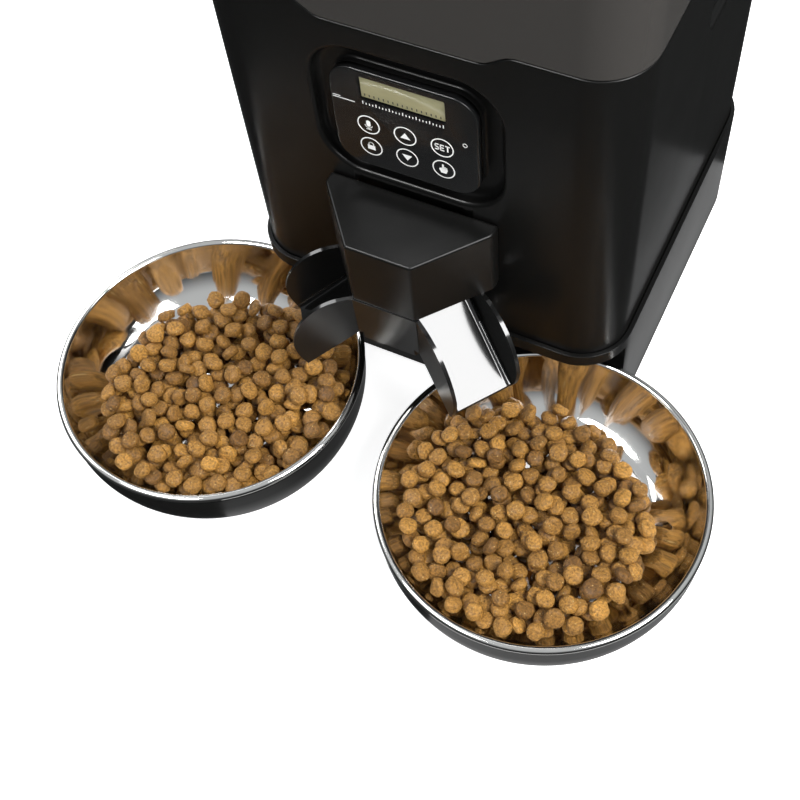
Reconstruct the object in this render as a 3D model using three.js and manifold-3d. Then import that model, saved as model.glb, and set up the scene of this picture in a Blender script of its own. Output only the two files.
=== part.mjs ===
// Automatic pet feeder: a smoked hopper and a motor-driven rotor on a stand, with a splitter
// that shares each meal between two steel bowls in loose holders.
// Millimetres, +Z up, +X to the feeder's left as it faces you, -Y towards the bowls.
import * as THREE from 'three';
import { mergeVertices } from 'three/addons/utils/BufferGeometryUtils.js';
import Module from 'manifold-3d';

const wasm = await Module();
wasm.setup();

// ---------- driving dimensions ----------
const FIT = 0.3; // gap between pieces that touch
const SLIP = 0.5; // gap round pieces that slide or turn

const STAND_WIDTH = 190;
const STAND_DEPTH = 190;
const STAND_CORNER = 25;
const STAND_WALL = 2.6;
const RIM_TOP = 66; // top of the stand's raised rim
const RIM_HEIGHT = 7;
const RIM_WALL = 2.2;
const DECK_THICK = 3;
const FOOT_HEIGHT = 1.5;
const FOOT_RADIUS = 8;
const NOSE_SETBACK = 6; // the stand's middle front wall, behind the rim's front edge
const BASE_PLATE = 3;

const BODY_INSET = 2.5; // the housing stands this far inside the rim
const BODY_WALL = 2.6;
const SEAM_LOW = 227.5; // housing to hopper seam, in the middle of the front
const SEAM_RISE = 6.5;
const SEAM_STEP_X = 39; // the seam climbs round here, either side of the middle
const SEAM_STEP_RUN = 14;
const SEAM_GAP = 0.8;

const HOPPER_TOP = 296;
const HOPPER_WALL = 2.4;
const HOPPER_SKIRT = 6.5; // depth of the locating skirt below the seam's low part
const LEDGE_Z = 238;
const LID_OVERHANG = 1;
const LID_HEIGHT = 17;
const LID_WALL = 2.4;
const HINGE_OUT = 3; // hinge axis, behind the hopper's rear wall
const KNUCKLE_RADIUS = 4;
const PIN_RADIUS = 1.6;

const PANEL_WIDTH = 64;
const PANEL_HEIGHT = 53;
const PANEL_CORNER = 11;
const PANEL_THICK = 3.4;
const PANEL_PROUD = 1.5; // the glossy plate stands this far out of the front wall
const PANEL_Z = 181.5;
const DISH_WIDTH = 83;
const DISH_HEIGHT = 68;
const DISH_CORNER = 20;
const DISH_DEPTH = 5.5;
const SCREEN_WIDTH = 37;
const SCREEN_HEIGHT = 11.6;
const SCREEN_Z = 199;
const KEY_PITCH = 16.25;
const KEY_ROW_TOP = 179.2;
const KEY_ROW_STEP = 12.4;
const KEY_RADIUS = 5;

const HOOD_BACK_HALF = 38.2; // with the front half and the reach, this sets the angle of the channels
const HOOD_FRONT_HALF = 15.2;
const HOOD_SHOULDER_HALF = 39.2; // the hood's slanted faces end here, at its short straight sides
const HOOD_SHOULDER_Y = -3.6;
const HOOD_REACH = 32.6; // how far the hood's front face stands out from the rim's front edge
const HOOD_TOP = 141;
const HOOD_BOTTOM = 104.5;
const HOOD_WALL = 2.2;
const TRAY_BOTTOM = 76;
const CHUTE_WALL = 1.8;
const CHUTE_WIDTH = 34; // outside width of one channel
const CHUTE_REACH = 26; // floor length past the hood's slanted face
const CHUTE_EDGE_Z = 80.5; // floor height under the hood's slanted face
const CHUTE_SLOPE = 0.7;

const ROTOR_Y = 92;
const ROTOR_RADIUS = 56;
const ROTOR_HEIGHT = 28;
const ROTOR_VANES = 6;
const CHAMBER_WALL = 2.2;
const CHAMBER_HEIGHT = 36;
const CHASSIS_Z = 146;
const CHASSIS_THICK = 3;
const SHAFT_RADIUS = 4;
const GEAR_MODULE = 1.1;
const GEAR_TEETH = 40;
const PINION_TEETH = 10;
const GEAR_THICK = 6;
const MOTOR_RADIUS = 12;
const MOTOR_LENGTH = 30;

const CELL_RADIUS = 16.6; // D size
const CELL_LENGTH = 60;
const CELL_COUNT = 3;
const CELL_PITCH = 36;

const BOWL_RADIUS = 75; // outside of the rolled rim
const BOWL_RIM = 50;
const BOWL_DEPTH = 30;
const BOWL_X = 86;
const BOWL_Y = -60;
const BOWL_CLEARANCE = 5; // between the bowl's rim and the stand's scallop
const STEEL = 1;
const ROLL_RADIUS = 1.8;
const HOLDER_WALL = 2.2;
const HOLDER_BASE = 50; // radius of the holder's flat base

// ---------- worked out from them ----------
const SIDE = STAND_WIDTH / 2;
const REAR = STAND_DEPTH;
const MIDDLE_Y = STAND_DEPTH / 2;
const RIM_BOTTOM = RIM_TOP - RIM_HEIGHT;
const DECK_TOP = RIM_BOTTOM + DECK_THICK;
const BODY_WIDTH = STAND_WIDTH - 2 * BODY_INSET;
const BODY_DEPTH = STAND_DEPTH - 2 * BODY_INSET;
const BODY_CORNER = STAND_CORNER - BODY_INSET;
const BODY_FRONT = BODY_INSET;
const BODY_REAR = REAR - BODY_INSET;
const BODY_BOTTOM = DECK_TOP + FIT;
const SEAM_HIGH = SEAM_LOW + SEAM_RISE;
const CHASSIS_TOP = CHASSIS_Z + CHASSIS_THICK;
const CHAMBER_BOTTOM = CHASSIS_TOP + FIT;
const CHAMBER_FLOOR = CHAMBER_BOTTOM + CHAMBER_WALL;
const CHAMBER_TOP = CHAMBER_BOTTOM + CHAMBER_HEIGHT;
const CHAMBER_RADIUS = ROTOR_RADIUS + 2 + CHAMBER_WALL;
const PINION_Y = ROTOR_Y + (GEAR_MODULE * (GEAR_TEETH + PINION_TEETH)) / 2;
const HINGE_Y = BODY_REAR + HINGE_OUT;
const HINGE_Z = HOPPER_TOP + KNUCKLE_RADIUS;
const FRONT_OF_ALL = BOWL_Y - BOWL_RADIUS;
const BACK_OF_ALL = Math.max(REAR, HINGE_Y + KNUCKLE_RADIUS);
const ORIGIN_Y = (FRONT_OF_ALL + BACK_OF_ALL) / 2;

// ---------- helpers ----------
function toSolid(geometry) {
  geometry.deleteAttribute('normal');
  geometry.deleteAttribute('uv');
  const merged = mergeVertices(geometry, 1e-4);
  const vertProperties = new Float32Array(merged.attributes.position.array);
  const triVerts = new Uint32Array(merged.index.array);
  return new wasm.Manifold(new wasm.Mesh({ numProp: 3, vertProperties, triVerts }));
}

function toGeometry(solid) {
  const mesh = solid.getMesh();
  const geometry = new THREE.BufferGeometry();
  geometry.setAttribute('position', new THREE.BufferAttribute(mesh.vertProperties, 3));
  geometry.setIndex(new THREE.BufferAttribute(mesh.triVerts, 1));
  geometry.computeVertexNormals();
  return geometry;
}

function join(first, ...others) {
  return others.reduce((whole, other) => whole.add(other), first);
}

function cut(first, ...others) {
  return others.reduce((whole, other) => whole.subtract(other), first);
}

// A block from its lowest to its highest corner.
function block(x0, x1, y0, y1, z0, z1) {
  const geometry = new THREE.BoxGeometry(x1 - x0, y1 - y0, z1 - z0);
  geometry.translate((x0 + x1) / 2, (y0 + y1) / 2, (z0 + z1) / 2);
  return toSolid(geometry);
}

function outline(points) {
  return new THREE.Shape(points.map(([u, v]) => new THREE.Vector2(u, v)));
}

function roundedRectangle(width, height, radius, u = 0, v = 0) {
  const shape = new THREE.Shape();
  const a = width / 2 - radius;
  const b = height / 2 - radius;
  shape.absarc(u + a, v + b, radius, 0, Math.PI / 2);
  shape.absarc(u - a, v + b, radius, Math.PI / 2, Math.PI);
  shape.absarc(u - a, v - b, radius, Math.PI, 1.5 * Math.PI);
  shape.absarc(u + a, v - b, radius, 1.5 * Math.PI, 2 * Math.PI);
  shape.closePath();
  return shape;
}

// A shape in X and Y, standing from z0 to z1.
function upright(shape, z0, z1, curveSegments = 5) {
  const geometry = new THREE.ExtrudeGeometry(shape, { depth: z1 - z0, bevelEnabled: false, curveSegments });
  geometry.translate(0, 0, z0);
  return toSolid(geometry);
}

// A shape in X and Z, from y0 back to y1.
function alongY(shape, y0, y1, curveSegments = 5) {
  const geometry = new THREE.ExtrudeGeometry(shape, { depth: y1 - y0, bevelEnabled: false, curveSegments });
  geometry.translate(0, 0, -y1);
  geometry.rotateX(Math.PI / 2);
  return toSolid(geometry);
}

// A shape in Y and Z, from x0 to x1.
function alongX(shape, x0, x1, curveSegments = 5) {
  const geometry = new THREE.ExtrudeGeometry(shape, { depth: x1 - x0, bevelEnabled: false, curveSegments });
  geometry.translate(0, 0, x0);
  const basis = new THREE.Matrix4();
  basis.makeBasis(new THREE.Vector3(0, 1, 0), new THREE.Vector3(0, 0, 1), new THREE.Vector3(1, 0, 0));
  geometry.applyMatrix4(basis);
  return toSolid(geometry);
}

// A round bar or disc standing on (x, y), from z0 to z1.
function post(radius, z0, z1, x = 0, y = 0, segments = 24) {
  const geometry = new THREE.CylinderGeometry(radius, radius, z1 - z0, segments);
  geometry.rotateX(Math.PI / 2);
  geometry.translate(x, y, (z0 + z1) / 2);
  return toSolid(geometry);
}

function barAlongX(radius, x0, x1, y, z, segments = 16) {
  const geometry = new THREE.CylinderGeometry(radius, radius, x1 - x0, segments);
  geometry.rotateZ(Math.PI / 2);
  geometry.translate((x0 + x1) / 2, y, z);
  return toSolid(geometry);
}

function barAlongY(radius, y0, y1, x, z, segments = 24) {
  const geometry = new THREE.CylinderGeometry(radius, radius, y1 - y0, segments);
  geometry.translate(x, (y0 + y1) / 2, z);
  return toSolid(geometry);
}

// A turned solid about Z from a closed profile of [radius, z] pairs that starts and ends on the axis.
function turned(profile, segments = 48) {
  const points = profile.map(([r, z]) => new THREE.Vector2(r, z));
  const geometry = new THREE.LatheGeometry(points, segments);
  geometry.rotateX(Math.PI / 2);
  return toSolid(geometry);
}

// Points of an arc in the (u, v) plane, both ends included.
function arc(u, v, radius, from, to, steps) {
  const points = [];
  for (let i = 0; i <= steps; i += 1) {
    const angle = THREE.MathUtils.degToRad(from + ((to - from) * i) / steps);
    points.push([u + radius * Math.cos(angle), v + radius * Math.sin(angle)]);
  }
  return points;
}

// A closed skin through level rings that hold the same number of points, lowest ring first.
function lofted(rings) {
  const count = rings[0].length;
  const positions = rings.flat(2);
  const index = [];
  for (let level = 0; level < rings.length - 1; level += 1) {
    for (let i = 0; i < count; i += 1) {
      const next = (i + 1) % count;
      const a = level * count + i;
      const b = level * count + next;
      index.push(a, b, b + count, a, b + count, a + count);
    }
  }
  const top = (rings.length - 1) * count;
  for (let i = 1; i < count - 1; i += 1) {
    index.push(0, i + 1, i);
    index.push(top, top + i, top + i + 1);
  }
  const geometry = new THREE.BufferGeometry();
  geometry.setAttribute('position', new THREE.Float32BufferAttribute(positions, 3));
  geometry.setIndex(index);
  return toSolid(geometry);
}

// One level ring of a rounded rectangle, for lofted().
function levelRing(halfX, halfY, corner, z, centreY, steps = 5) {
  const points = [];
  for (let quarter = 0; quarter < 4; quarter += 1) {
    const u = (halfX - corner) * (quarter === 0 || quarter === 3 ? 1 : -1);
    const v = (halfY - corner) * (quarter < 2 ? 1 : -1);
    points.push(...arc(u, v, corner, quarter * 90, quarter * 90 + 90, steps));
  }
  return points.map(([x, y]) => [x, y + centreY, z]);
}

function plastic(color, roughness) {
  return new THREE.MeshStandardMaterial({ color, roughness, metalness: 0 });
}

function metal(color, roughness) {
  return new THREE.MeshStandardMaterial({ color, roughness, metalness: 1 });
}

function piece(parent, name, solid, material) {
  const mesh = new THREE.Mesh(toGeometry(solid), material.clone());
  mesh.name = name;
  parent.add(mesh);
  return mesh;
}

function assembly(parent, x = 0, y = 0, z = 0) {
  const group = new THREE.Group();
  group.position.set(x, y, z);
  parent.add(group);
  return group;
}

// ---------- finishes ----------
const satinBlack = plastic(0x1b1b1a, 0.38);
const glossBlack = plastic(0x0a0a0b, 0.08);
const smoke = plastic(0x2a2a2b, 0.12);
const white = plastic(0xe6e4de, 0.45);
const paleGrey = plastic(0xb8bab8, 0.5);
const rubberBlack = plastic(0x202020, 0.85);
const siliconeGrey = plastic(0x8d8f90, 0.7);
const boardGreen = plastic(0x1f4a2c, 0.5);
const screenGreen = plastic(0x8c8a60, 0.25);
const cellWrap = plastic(0x3a3f46, 0.35);
const steel = metal(0xd6d6d4, 0.08);
const zinc = metal(0xb4b6b8, 0.35);
const brass = metal(0xc0994a, 0.35);

// ---------- plan shapes ----------
function standPlan(inset) {
  return roundedRectangle(STAND_WIDTH - 2 * inset, STAND_DEPTH - 2 * inset, STAND_CORNER - inset, 0, MIDDLE_Y);
}

function bodyPlan(inset) {
  return roundedRectangle(BODY_WIDTH - 2 * inset, BODY_DEPTH - 2 * inset, BODY_CORNER - inset, 0, MIDDLE_Y);
}

function seamHeight(x) {
  const start = SEAM_STEP_X - SEAM_STEP_RUN / 2;
  return SEAM_LOW + SEAM_RISE * THREE.MathUtils.smoothstep(Math.abs(x), start, start + SEAM_STEP_RUN);
}

// Front outline that follows the seam on one side and a level at the other.
function seamOutline(level, offset) {
  const half = SIDE + 5;
  const start = SEAM_STEP_X - SEAM_STEP_RUN / 2;
  const stops = [half];
  for (let i = 0; i <= 5; i += 1) {
    stops.push(start + (SEAM_STEP_RUN * (5 - i)) / 5);
  }
  const right = stops.map((x) => [x, seamHeight(x) + offset]);
  const left = right.map(([x, z]) => [-x, z]).reverse();
  return outline([...right, ...left, [-half, level], [half, level]]);
}

// ---------- stand ----------
// The hollow under the rim: straight in the middle of the front, scalloped round the two bowls.
function standCore(inset, z0, z1) {
  const core = upright(standPlan(inset), z0, z1);
  const front = block(-SIDE - 1, SIDE + 1, -1, NOSE_SETBACK + inset, z0 - 1, z1 + 1);
  const scallop = BOWL_RADIUS + BOWL_CLEARANCE + inset;
  const scallops = [-1, 1].map((side) => post(scallop, z0 - 1, z1 + 1, side * BOWL_X, BOWL_Y, 48));
  return cut(core, front, ...scallops);
}

const SCREW_PLACES = [
  [-78, 46],
  [78, 46],
  [-78, REAR - 26],
  [78, REAR - 26],
];
const SCREW_RADIUS = 1.5;
const BOSS_RADIUS = 4.5;
const PLATE_BOTTOM = FOOT_HEIGHT + 0.5;
const PLATE_TOP = PLATE_BOTTOM + BASE_PLATE;
const DOOR_HALF = (CELL_COUNT * CELL_PITCH) / 2 + 3;
const BAY_REAR = REAR - STAND_WALL - 8;
const BAY_FRONT = BAY_REAR - CELL_LENGTH - 10;
const JACK_X = 60;
const JACK_Z = 28;
const JACK_RADIUS = 5.5;

function makeStand() {
  const walls = cut(
    standCore(0, FOOT_HEIGHT, RIM_BOTTOM + 1),
    standCore(STAND_WALL, FOOT_HEIGHT - 1, RIM_BOTTOM),
  );
  const bosses = SCREW_PLACES.map(([x, y]) =>
    cut(
      post(BOSS_RADIUS, PLATE_TOP + FIT, RIM_BOTTOM + 1, x, y, 16),
      post(SCREW_RADIUS + FIT, PLATE_TOP, PLATE_TOP + 16, x, y, 12),
    ),
  );
  const deck = upright(standPlan(0), RIM_BOTTOM, RIM_TOP);
  const well = upright(standPlan(RIM_WALL), DECK_TOP, RIM_TOP + 1);
  const wireway = post(16, RIM_BOTTOM - 1, DECK_TOP + 1, 0, REAR - 42);
  const doorway = block(-DOOR_HALF - SLIP, DOOR_HALF + SLIP, BAY_REAR, REAR + 1, 0, PLATE_TOP + SLIP);
  const jackHole = barAlongY(JACK_RADIUS + FIT, REAR - 6, REAR + 1, JACK_X, JACK_Z);
  return cut(join(walls, ...bosses, deck), well, wireway, doorway, jackHole);
}

function makeBasePlate() {
  const plate = standCore(STAND_WALL + FIT, PLATE_BOTTOM, PLATE_TOP);
  const opening = block(-DOOR_HALF - SLIP, DOOR_HALF + SLIP, BAY_FRONT, REAR, 0, PLATE_TOP + 1);
  const holes = SCREW_PLACES.map(([x, y]) => post(SCREW_RADIUS + FIT, 0, PLATE_TOP + 1, x, y, 12));
  const seats = SCREW_PLACES.map(([x, y]) => post(3.4, 0, PLATE_BOTTOM + 1.6, x, y, 16));
  return cut(plate, opening, ...holes, ...seats);
}

function makeBatteryDoor() {
  const panel = block(-DOOR_HALF, DOOR_HALF, BAY_FRONT + SLIP, REAR - SLIP, PLATE_BOTTOM, PLATE_TOP);
  const grips = [0, 1, 2].map((i) => {
    const y = REAR - 22 + i * 5;
    return block(-14, 14, y, y + 2.2, PLATE_BOTTOM - 1, PLATE_BOTTOM + 0.9);
  });
  return cut(panel, ...grips);
}

function makeBatteryBay() {
  const wall = 1.8;
  const bottom = PLATE_TOP + 2 * FIT;
  const top = bottom + 2 * CELL_RADIUS + 3;
  const outer = block(-DOOR_HALF, DOOR_HALF, BAY_FRONT, BAY_REAR, bottom, top);
  const inner = block(-DOOR_HALF + wall, DOOR_HALF - wall, BAY_FRONT + wall, BAY_REAR - wall, bottom - 1, top - wall);
  return cut(outer, inner);
}

function makeCell() {
  const nub = 1.5;
  const geometry = [
    [0, -CELL_LENGTH / 2],
    [CELL_RADIUS - 1, -CELL_LENGTH / 2],
    [CELL_RADIUS, -CELL_LENGTH / 2 + 1],
    [CELL_RADIUS, CELL_LENGTH / 2 - nub - 1],
    [CELL_RADIUS - 1, CELL_LENGTH / 2 - nub],
    [4.8, CELL_LENGTH / 2 - nub],
    [4.8, CELL_LENGTH / 2],
    [0, CELL_LENGTH / 2],
  ];
  return turned(geometry, 24);
}

function makeContact(y) {
  const z = PLATE_TOP + 4;
  return block(-DOOR_HALF + 6, DOOR_HALF - 6, y - 0.3, y + 0.3, z, z + 2 * CELL_RADIUS - 6);
}

function makeScrew() {
  return join(post(SCREW_RADIUS, -14, 0.6, 0, 0, 12), post(3, 0, 1.3, 0, 0, 16));
}

function makeFoot() {
  const top = PLATE_BOTTOM - FIT;
  return turned([[0, 0], [FOOT_RADIUS - 0.5, 0], [FOOT_RADIUS, 0.5], [FOOT_RADIUS, top], [0, top]], 24);
}

function makeJack() {
  const barrel = barAlongY(JACK_RADIUS, REAR - 10, REAR - 0.5, JACK_X, JACK_Z);
  const collar = barAlongY(JACK_RADIUS + 2, REAR - 10, REAR - STAND_WALL - FIT, JACK_X, JACK_Z);
  const socket = barAlongY(3.2, REAR - 8, REAR + 1, JACK_X, JACK_Z);
  const pin = barAlongY(1, REAR - 9, REAR - 2, JACK_X, JACK_Z, 10);
  return join(cut(join(barrel, collar), socket), pin);
}

function buildStand(parent) {
  const group = assembly(parent);
  piece(group, 'stand', makeStand(), satinBlack);
  piece(group, 'base_plate', makeBasePlate(), satinBlack);
  piece(group, 'battery_door', makeBatteryDoor(), satinBlack);
  piece(group, 'battery_bay', makeBatteryBay(), satinBlack);
  piece(group, 'dc_inlet', makeJack(), satinBlack);
  const cellZ = PLATE_TOP + CELL_RADIUS + 1;
  const cellY = (BAY_FRONT + BAY_REAR) / 2;
  for (let i = 0; i < CELL_COUNT; i += 1) {
    const cell = piece(group, `battery_cell_${i + 1}`, makeCell(), cellWrap);
    cell.position.set((i - (CELL_COUNT - 1) / 2) * CELL_PITCH, cellY, cellZ);
    cell.rotation.x = i % 2 === 0 ? Math.PI / 2 : -Math.PI / 2;
  }
  const reach = CELL_LENGTH / 2 + 1;
  piece(group, 'battery_contact_front', makeContact(cellY - reach), zinc);
  piece(group, 'battery_contact_rear', makeContact(cellY + reach), zinc);
  SCREW_PLACES.forEach(([x, y], i) => {
    const screw = piece(group, `base_screw_${i + 1}`, makeScrew(), zinc);
    screw.position.set(x, y, PLATE_BOTTOM + 1.3);
    screw.rotation.x = Math.PI;
  });
  SCREW_PLACES.forEach(([x, y], i) => {
    const foot = piece(group, `foot_${i + 1}`, makeFoot(), rubberBlack);
    foot.position.set(x - Math.sign(x) * FOOT_RADIUS, y - Math.sign(y - MIDDLE_Y) * 2 * FOOT_RADIUS, 0);
  });
}

// ---------- housing ----------
const OUTLET_HALF = 26;
const OUTLET_TOP = HOOD_TOP - 3;
const OUTLET_BOTTOM = 101.5;
const TONGUE_HALF = 10;
const TONGUE_Z = 90;
const TONGUE_THICK = 5;
const GRIP_FRONT = 91; // front edge of the side grip pocket
const GRIP_BOTTOM = 185;
const GRIP_WIDTH = 34;
const GRIP_HEIGHT = 33;
const GRIP_DEPTH = 4;
const BUTTON_WIDTH = 22;
const BUTTON_HEIGHT = 16;
const BUTTON_TRAVEL = 2.5;
const SPEAKER_Z = 100;
const SPEAKER_RADIUS = 18;
const PANEL_BACK = BODY_FRONT - PANEL_PROUD + PANEL_THICK;
const DISH_BACK = BODY_FRONT + DISH_DEPTH;
const DISH_SHELL = 2.2;
const BEZEL = 3; // rim of the pedestal that carries the glossy plate
const GRIP_Y = GRIP_FRONT + GRIP_WIDTH / 2;
const GRIP_Z = GRIP_BOTTOM + GRIP_HEIGHT / 2;
const MIC_X = 26.3;
const MIC_Z = KEY_ROW_TOP + 2;
const BOARD_FRONT = DISH_BACK + DISH_SHELL + FIT;
const BOARD_THICK = 1.6;
const SCREEN_FRONT = PANEL_BACK - 2.6;
const KEY_NAMES = [
  ['record', 'up', 'set'],
  ['lock', 'down', 'feed'],
];

function dishShape(grow) {
  return roundedRectangle(DISH_WIDTH + 2 * grow, DISH_HEIGHT + 2 * grow, DISH_CORNER + grow, 0, PANEL_Z);
}

function panelShape(grow) {
  return roundedRectangle(PANEL_WIDTH + 2 * grow, PANEL_HEIGHT + 2 * grow, PANEL_CORNER + grow, 0, PANEL_Z);
}

function gripShape(grow) {
  return roundedRectangle(GRIP_WIDTH + 2 * grow, GRIP_HEIGHT + 2 * grow, 6 + grow, GRIP_Y, GRIP_Z);
}

// A side feature drawn for +X, and its mirror image for -X.
function onSide(side, shape, depth0, depth1) {
  const edge = BODY_WIDTH / 2;
  return side > 0 ? alongX(shape, edge - depth1, edge - depth0) : alongX(shape, depth0 - edge, depth1 - edge);
}

function makeHousing() {
  const shell = cut(
    upright(bodyPlan(0), BODY_BOTTOM, SEAM_HIGH + 1),
    upright(bodyPlan(BODY_WALL), BODY_BOTTOM - 1, SEAM_HIGH + 2),
  );
  const pedestal = cut(
    alongY(dishShape(DISH_SHELL), BODY_FRONT + 0.5, DISH_BACK + DISH_SHELL),
    cut(alongY(dishShape(0), 0, DISH_BACK), alongY(panelShape(-0.6), PANEL_BACK + FIT, DISH_BACK + 1)),
    alongY(panelShape(-BEZEL), 0, DISH_BACK + DISH_SHELL + 1),
  );
  const pocket = alongY(dishShape(0), -1, BODY_FRONT + BODY_WALL + 1);
  const grips = [-1, 1].map((side) => onSide(side, gripShape(2), 1, GRIP_DEPTH + 2));
  const scoops = [-1, 1].map((side) => onSide(side, gripShape(0), -1, GRIP_DEPTH));
  const windows = [-1, 1].map((side) => {
    const shape = roundedRectangle(BUTTON_WIDTH + 2 * SLIP, BUTTON_HEIGHT + 2 * SLIP, 4, GRIP_Y, GRIP_Z);
    return onSide(side, shape, -1, GRIP_DEPTH + 4);
  });
  const outlet = block(-OUTLET_HALF - SLIP, OUTLET_HALF + SLIP, 0, BODY_FRONT + BODY_WALL + 1, OUTLET_BOTTOM, OUTLET_TOP);
  const slot = block(
    -TONGUE_HALF - SLIP, TONGUE_HALF + SLIP, 0, BODY_FRONT + BODY_WALL + 1,
    TONGUE_Z - SLIP, TONGUE_Z + TONGUE_THICK + SLIP,
  );
  const slats = [-2, -1, 0, 1, 2].map((i) => {
    const half = Math.sqrt(SPEAKER_RADIUS ** 2 - (i * 6) ** 2) - 3;
    return block(-half, half, BODY_REAR - BODY_WALL - 1, REAR, SPEAKER_Z + i * 6 - 1, SPEAKER_Z + i * 6 + 1);
  });
  const whole = join(cut(shell, pocket), pedestal, ...grips);
  const hollowed = cut(whole, ...scoops, ...windows, outlet, slot, ...slats);
  return hollowed.intersect(alongY(seamOutline(0, 0), -5, REAR + 5));
}

function makePanel() {
  const plate = alongY(panelShape(0), BODY_FRONT - PANEL_PROUD, PANEL_BACK);
  const window = block(
    -SCREEN_WIDTH / 2, SCREEN_WIDTH / 2, -5, PANEL_BACK + 1,
    SCREEN_Z - SCREEN_HEIGHT / 2, SCREEN_Z + SCREEN_HEIGHT / 2,
  );
  const soundHole = barAlongY(0.5, -5, PANEL_BACK + 1, MIC_X, MIC_Z, 8);
  return cut(plate, window, soundHole);
}

function makeScreen() {
  const glass = block(
    -SCREEN_WIDTH / 2 + FIT, SCREEN_WIDTH / 2 - FIT, SCREEN_FRONT, PANEL_BACK + FIT + 0.5,
    SCREEN_Z - SCREEN_HEIGHT / 2 + FIT, SCREEN_Z + SCREEN_HEIGHT / 2 - FIT,
  );
  const backing = block(
    -SCREEN_WIDTH / 2 - 5, SCREEN_WIDTH / 2 + 5, PANEL_BACK + FIT, BOARD_FRONT - FIT,
    SCREEN_Z - SCREEN_HEIGHT / 2 - 2, SCREEN_Z + SCREEN_HEIGHT / 2 - 3.5,
  );
  return join(glass, backing);
}

function makeBoard() {
  return block(
    -PANEL_WIDTH / 2 + 1, PANEL_WIDTH / 2 - 1, BOARD_FRONT, BOARD_FRONT + BOARD_THICK,
    PANEL_Z - PANEL_HEIGHT / 2, PANEL_Z + PANEL_HEIGHT / 2,
  );
}

function makeReleaseButton(side) {
  const shape = roundedRectangle(BUTTON_WIDTH, BUTTON_HEIGHT, 3.5, GRIP_Y, GRIP_Z);
  return onSide(side, shape, 1.6, GRIP_DEPTH + 6);
}

function buildHousing(parent) {
  const group = assembly(parent);
  piece(group, 'main_housing', makeHousing(), satinBlack);
  piece(group, 'control_panel', makePanel(), glossBlack);
  piece(group, 'lcd_display', makeScreen(), screenGreen);
  piece(group, 'control_board', makeBoard(), boardGreen);
  KEY_NAMES.forEach((row, r) => {
    row.forEach((name, c) => {
      const z = KEY_ROW_TOP - r * KEY_ROW_STEP;
      const pad = barAlongY(KEY_RADIUS - 0.8, PANEL_BACK + FIT, BOARD_FRONT - FIT, (c - 1) * KEY_PITCH, z, 16);
      piece(group, `touch_pad_${name}`, pad, rubberBlack);
    });
  });
  piece(group, 'microphone', barAlongY(2.4, PANEL_BACK + FIT, PANEL_BACK + 3, MIC_X - 1, MIC_Z, 16), zinc);
  piece(group, 'release_button_left', makeReleaseButton(-1), satinBlack);
  piece(group, 'release_button_right', makeReleaseButton(1), satinBlack);
  const speakerFront = BODY_REAR - BODY_WALL - FIT;
  const cone = barAlongY(SPEAKER_RADIUS, speakerFront - 5, speakerFront, 0, SPEAKER_Z);
  const magnet = barAlongY(9, speakerFront - 13, speakerFront - 4, 0, SPEAKER_Z);
  piece(group, 'speaker', join(cone, magnet), zinc);
}

// ---------- dispensing works ----------
const HOLE_HALF = 22;
const HOLE_FRONT = ROTOR_Y - ROTOR_RADIUS + 2;
const HOLE_REAR = ROTOR_Y - 30;
const CASE_BOTTOM = CHASSIS_Z - 24;
const CASE_WALL = 2;
const CASE_HALF = (GEAR_MODULE * GEAR_TEETH) / 2 + 5;
const CASE_FRONT = ROTOR_Y - (GEAR_MODULE * (GEAR_TEETH + 2)) / 2 - SLIP - CASE_WALL;
const CASE_REAR = PINION_Y + 13;
const GEAR_Z = CASE_BOTTOM + CASE_WALL + 3;

function makeChassis() {
  const plate = upright(bodyPlan(BODY_WALL + FIT), CHASSIS_Z, CHASSIS_TOP);
  const throat = block(-HOLE_HALF - 1, HOLE_HALF + 1, HOLE_FRONT - 1, HOLE_REAR + 1, CHASSIS_Z - 1, CHASSIS_TOP + 1);
  const shaftHole = post(SHAFT_RADIUS + 1, CHASSIS_Z - 1, CHASSIS_TOP + 1, 0, ROTOR_Y);
  const front = block(-SIDE, SIDE, 0, DISH_BACK + DISH_SHELL + 4, CHASSIS_Z - 1, CHASSIS_TOP + 1);
  return cut(plate, throat, shaftHole, front);
}

function makeChamber() {
  const cup = cut(
    post(CHAMBER_RADIUS, CHAMBER_BOTTOM, CHAMBER_TOP, 0, 0, 48),
    post(CHAMBER_RADIUS - CHAMBER_WALL, CHAMBER_FLOOR, CHAMBER_TOP + 1, 0, 0, 48),
  );
  const hole = block(
    -HOLE_HALF, HOLE_HALF, HOLE_FRONT - ROTOR_Y, HOLE_REAR - ROTOR_Y, CHAMBER_BOTTOM - 1, CHAMBER_FLOOR + 1,
  ).intersect(post(ROTOR_RADIUS, CHAMBER_BOTTOM - 1, CHAMBER_FLOOR + 1, 0, 0, 48));
  return cut(cup, hole, post(SHAFT_RADIUS + 1, CHAMBER_BOTTOM - 1, CHAMBER_FLOOR + 1));
}

function makeBaffle() {
  const disc = post(CHAMBER_RADIUS, CHAMBER_TOP + FIT, CHAMBER_TOP + FIT + 2, 0, 0, 48);
  const keep = block(-80, 80, -80, -16, CHAMBER_TOP, CHAMBER_TOP + 5);
  return disc.intersect(keep);
}

function makeRotor() {
  const bottom = CHAMBER_FLOOR + 0.8;
  const top = bottom + ROTOR_HEIGHT;
  const vanes = [];
  for (let i = 0; i < ROTOR_VANES; i += 1) {
    const vane = block(8, ROTOR_RADIUS, -1.3, 1.3, bottom, top);
    vanes.push(vane.rotate([0, 0, (360 * (i + 0.5)) / ROTOR_VANES]));
  }
  const hub = join(post(13, bottom, top, 0, 0, 30), ...vanes);
  return cut(hub, post(SHAFT_RADIUS + FIT, bottom - 1, top - 3));
}

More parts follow.
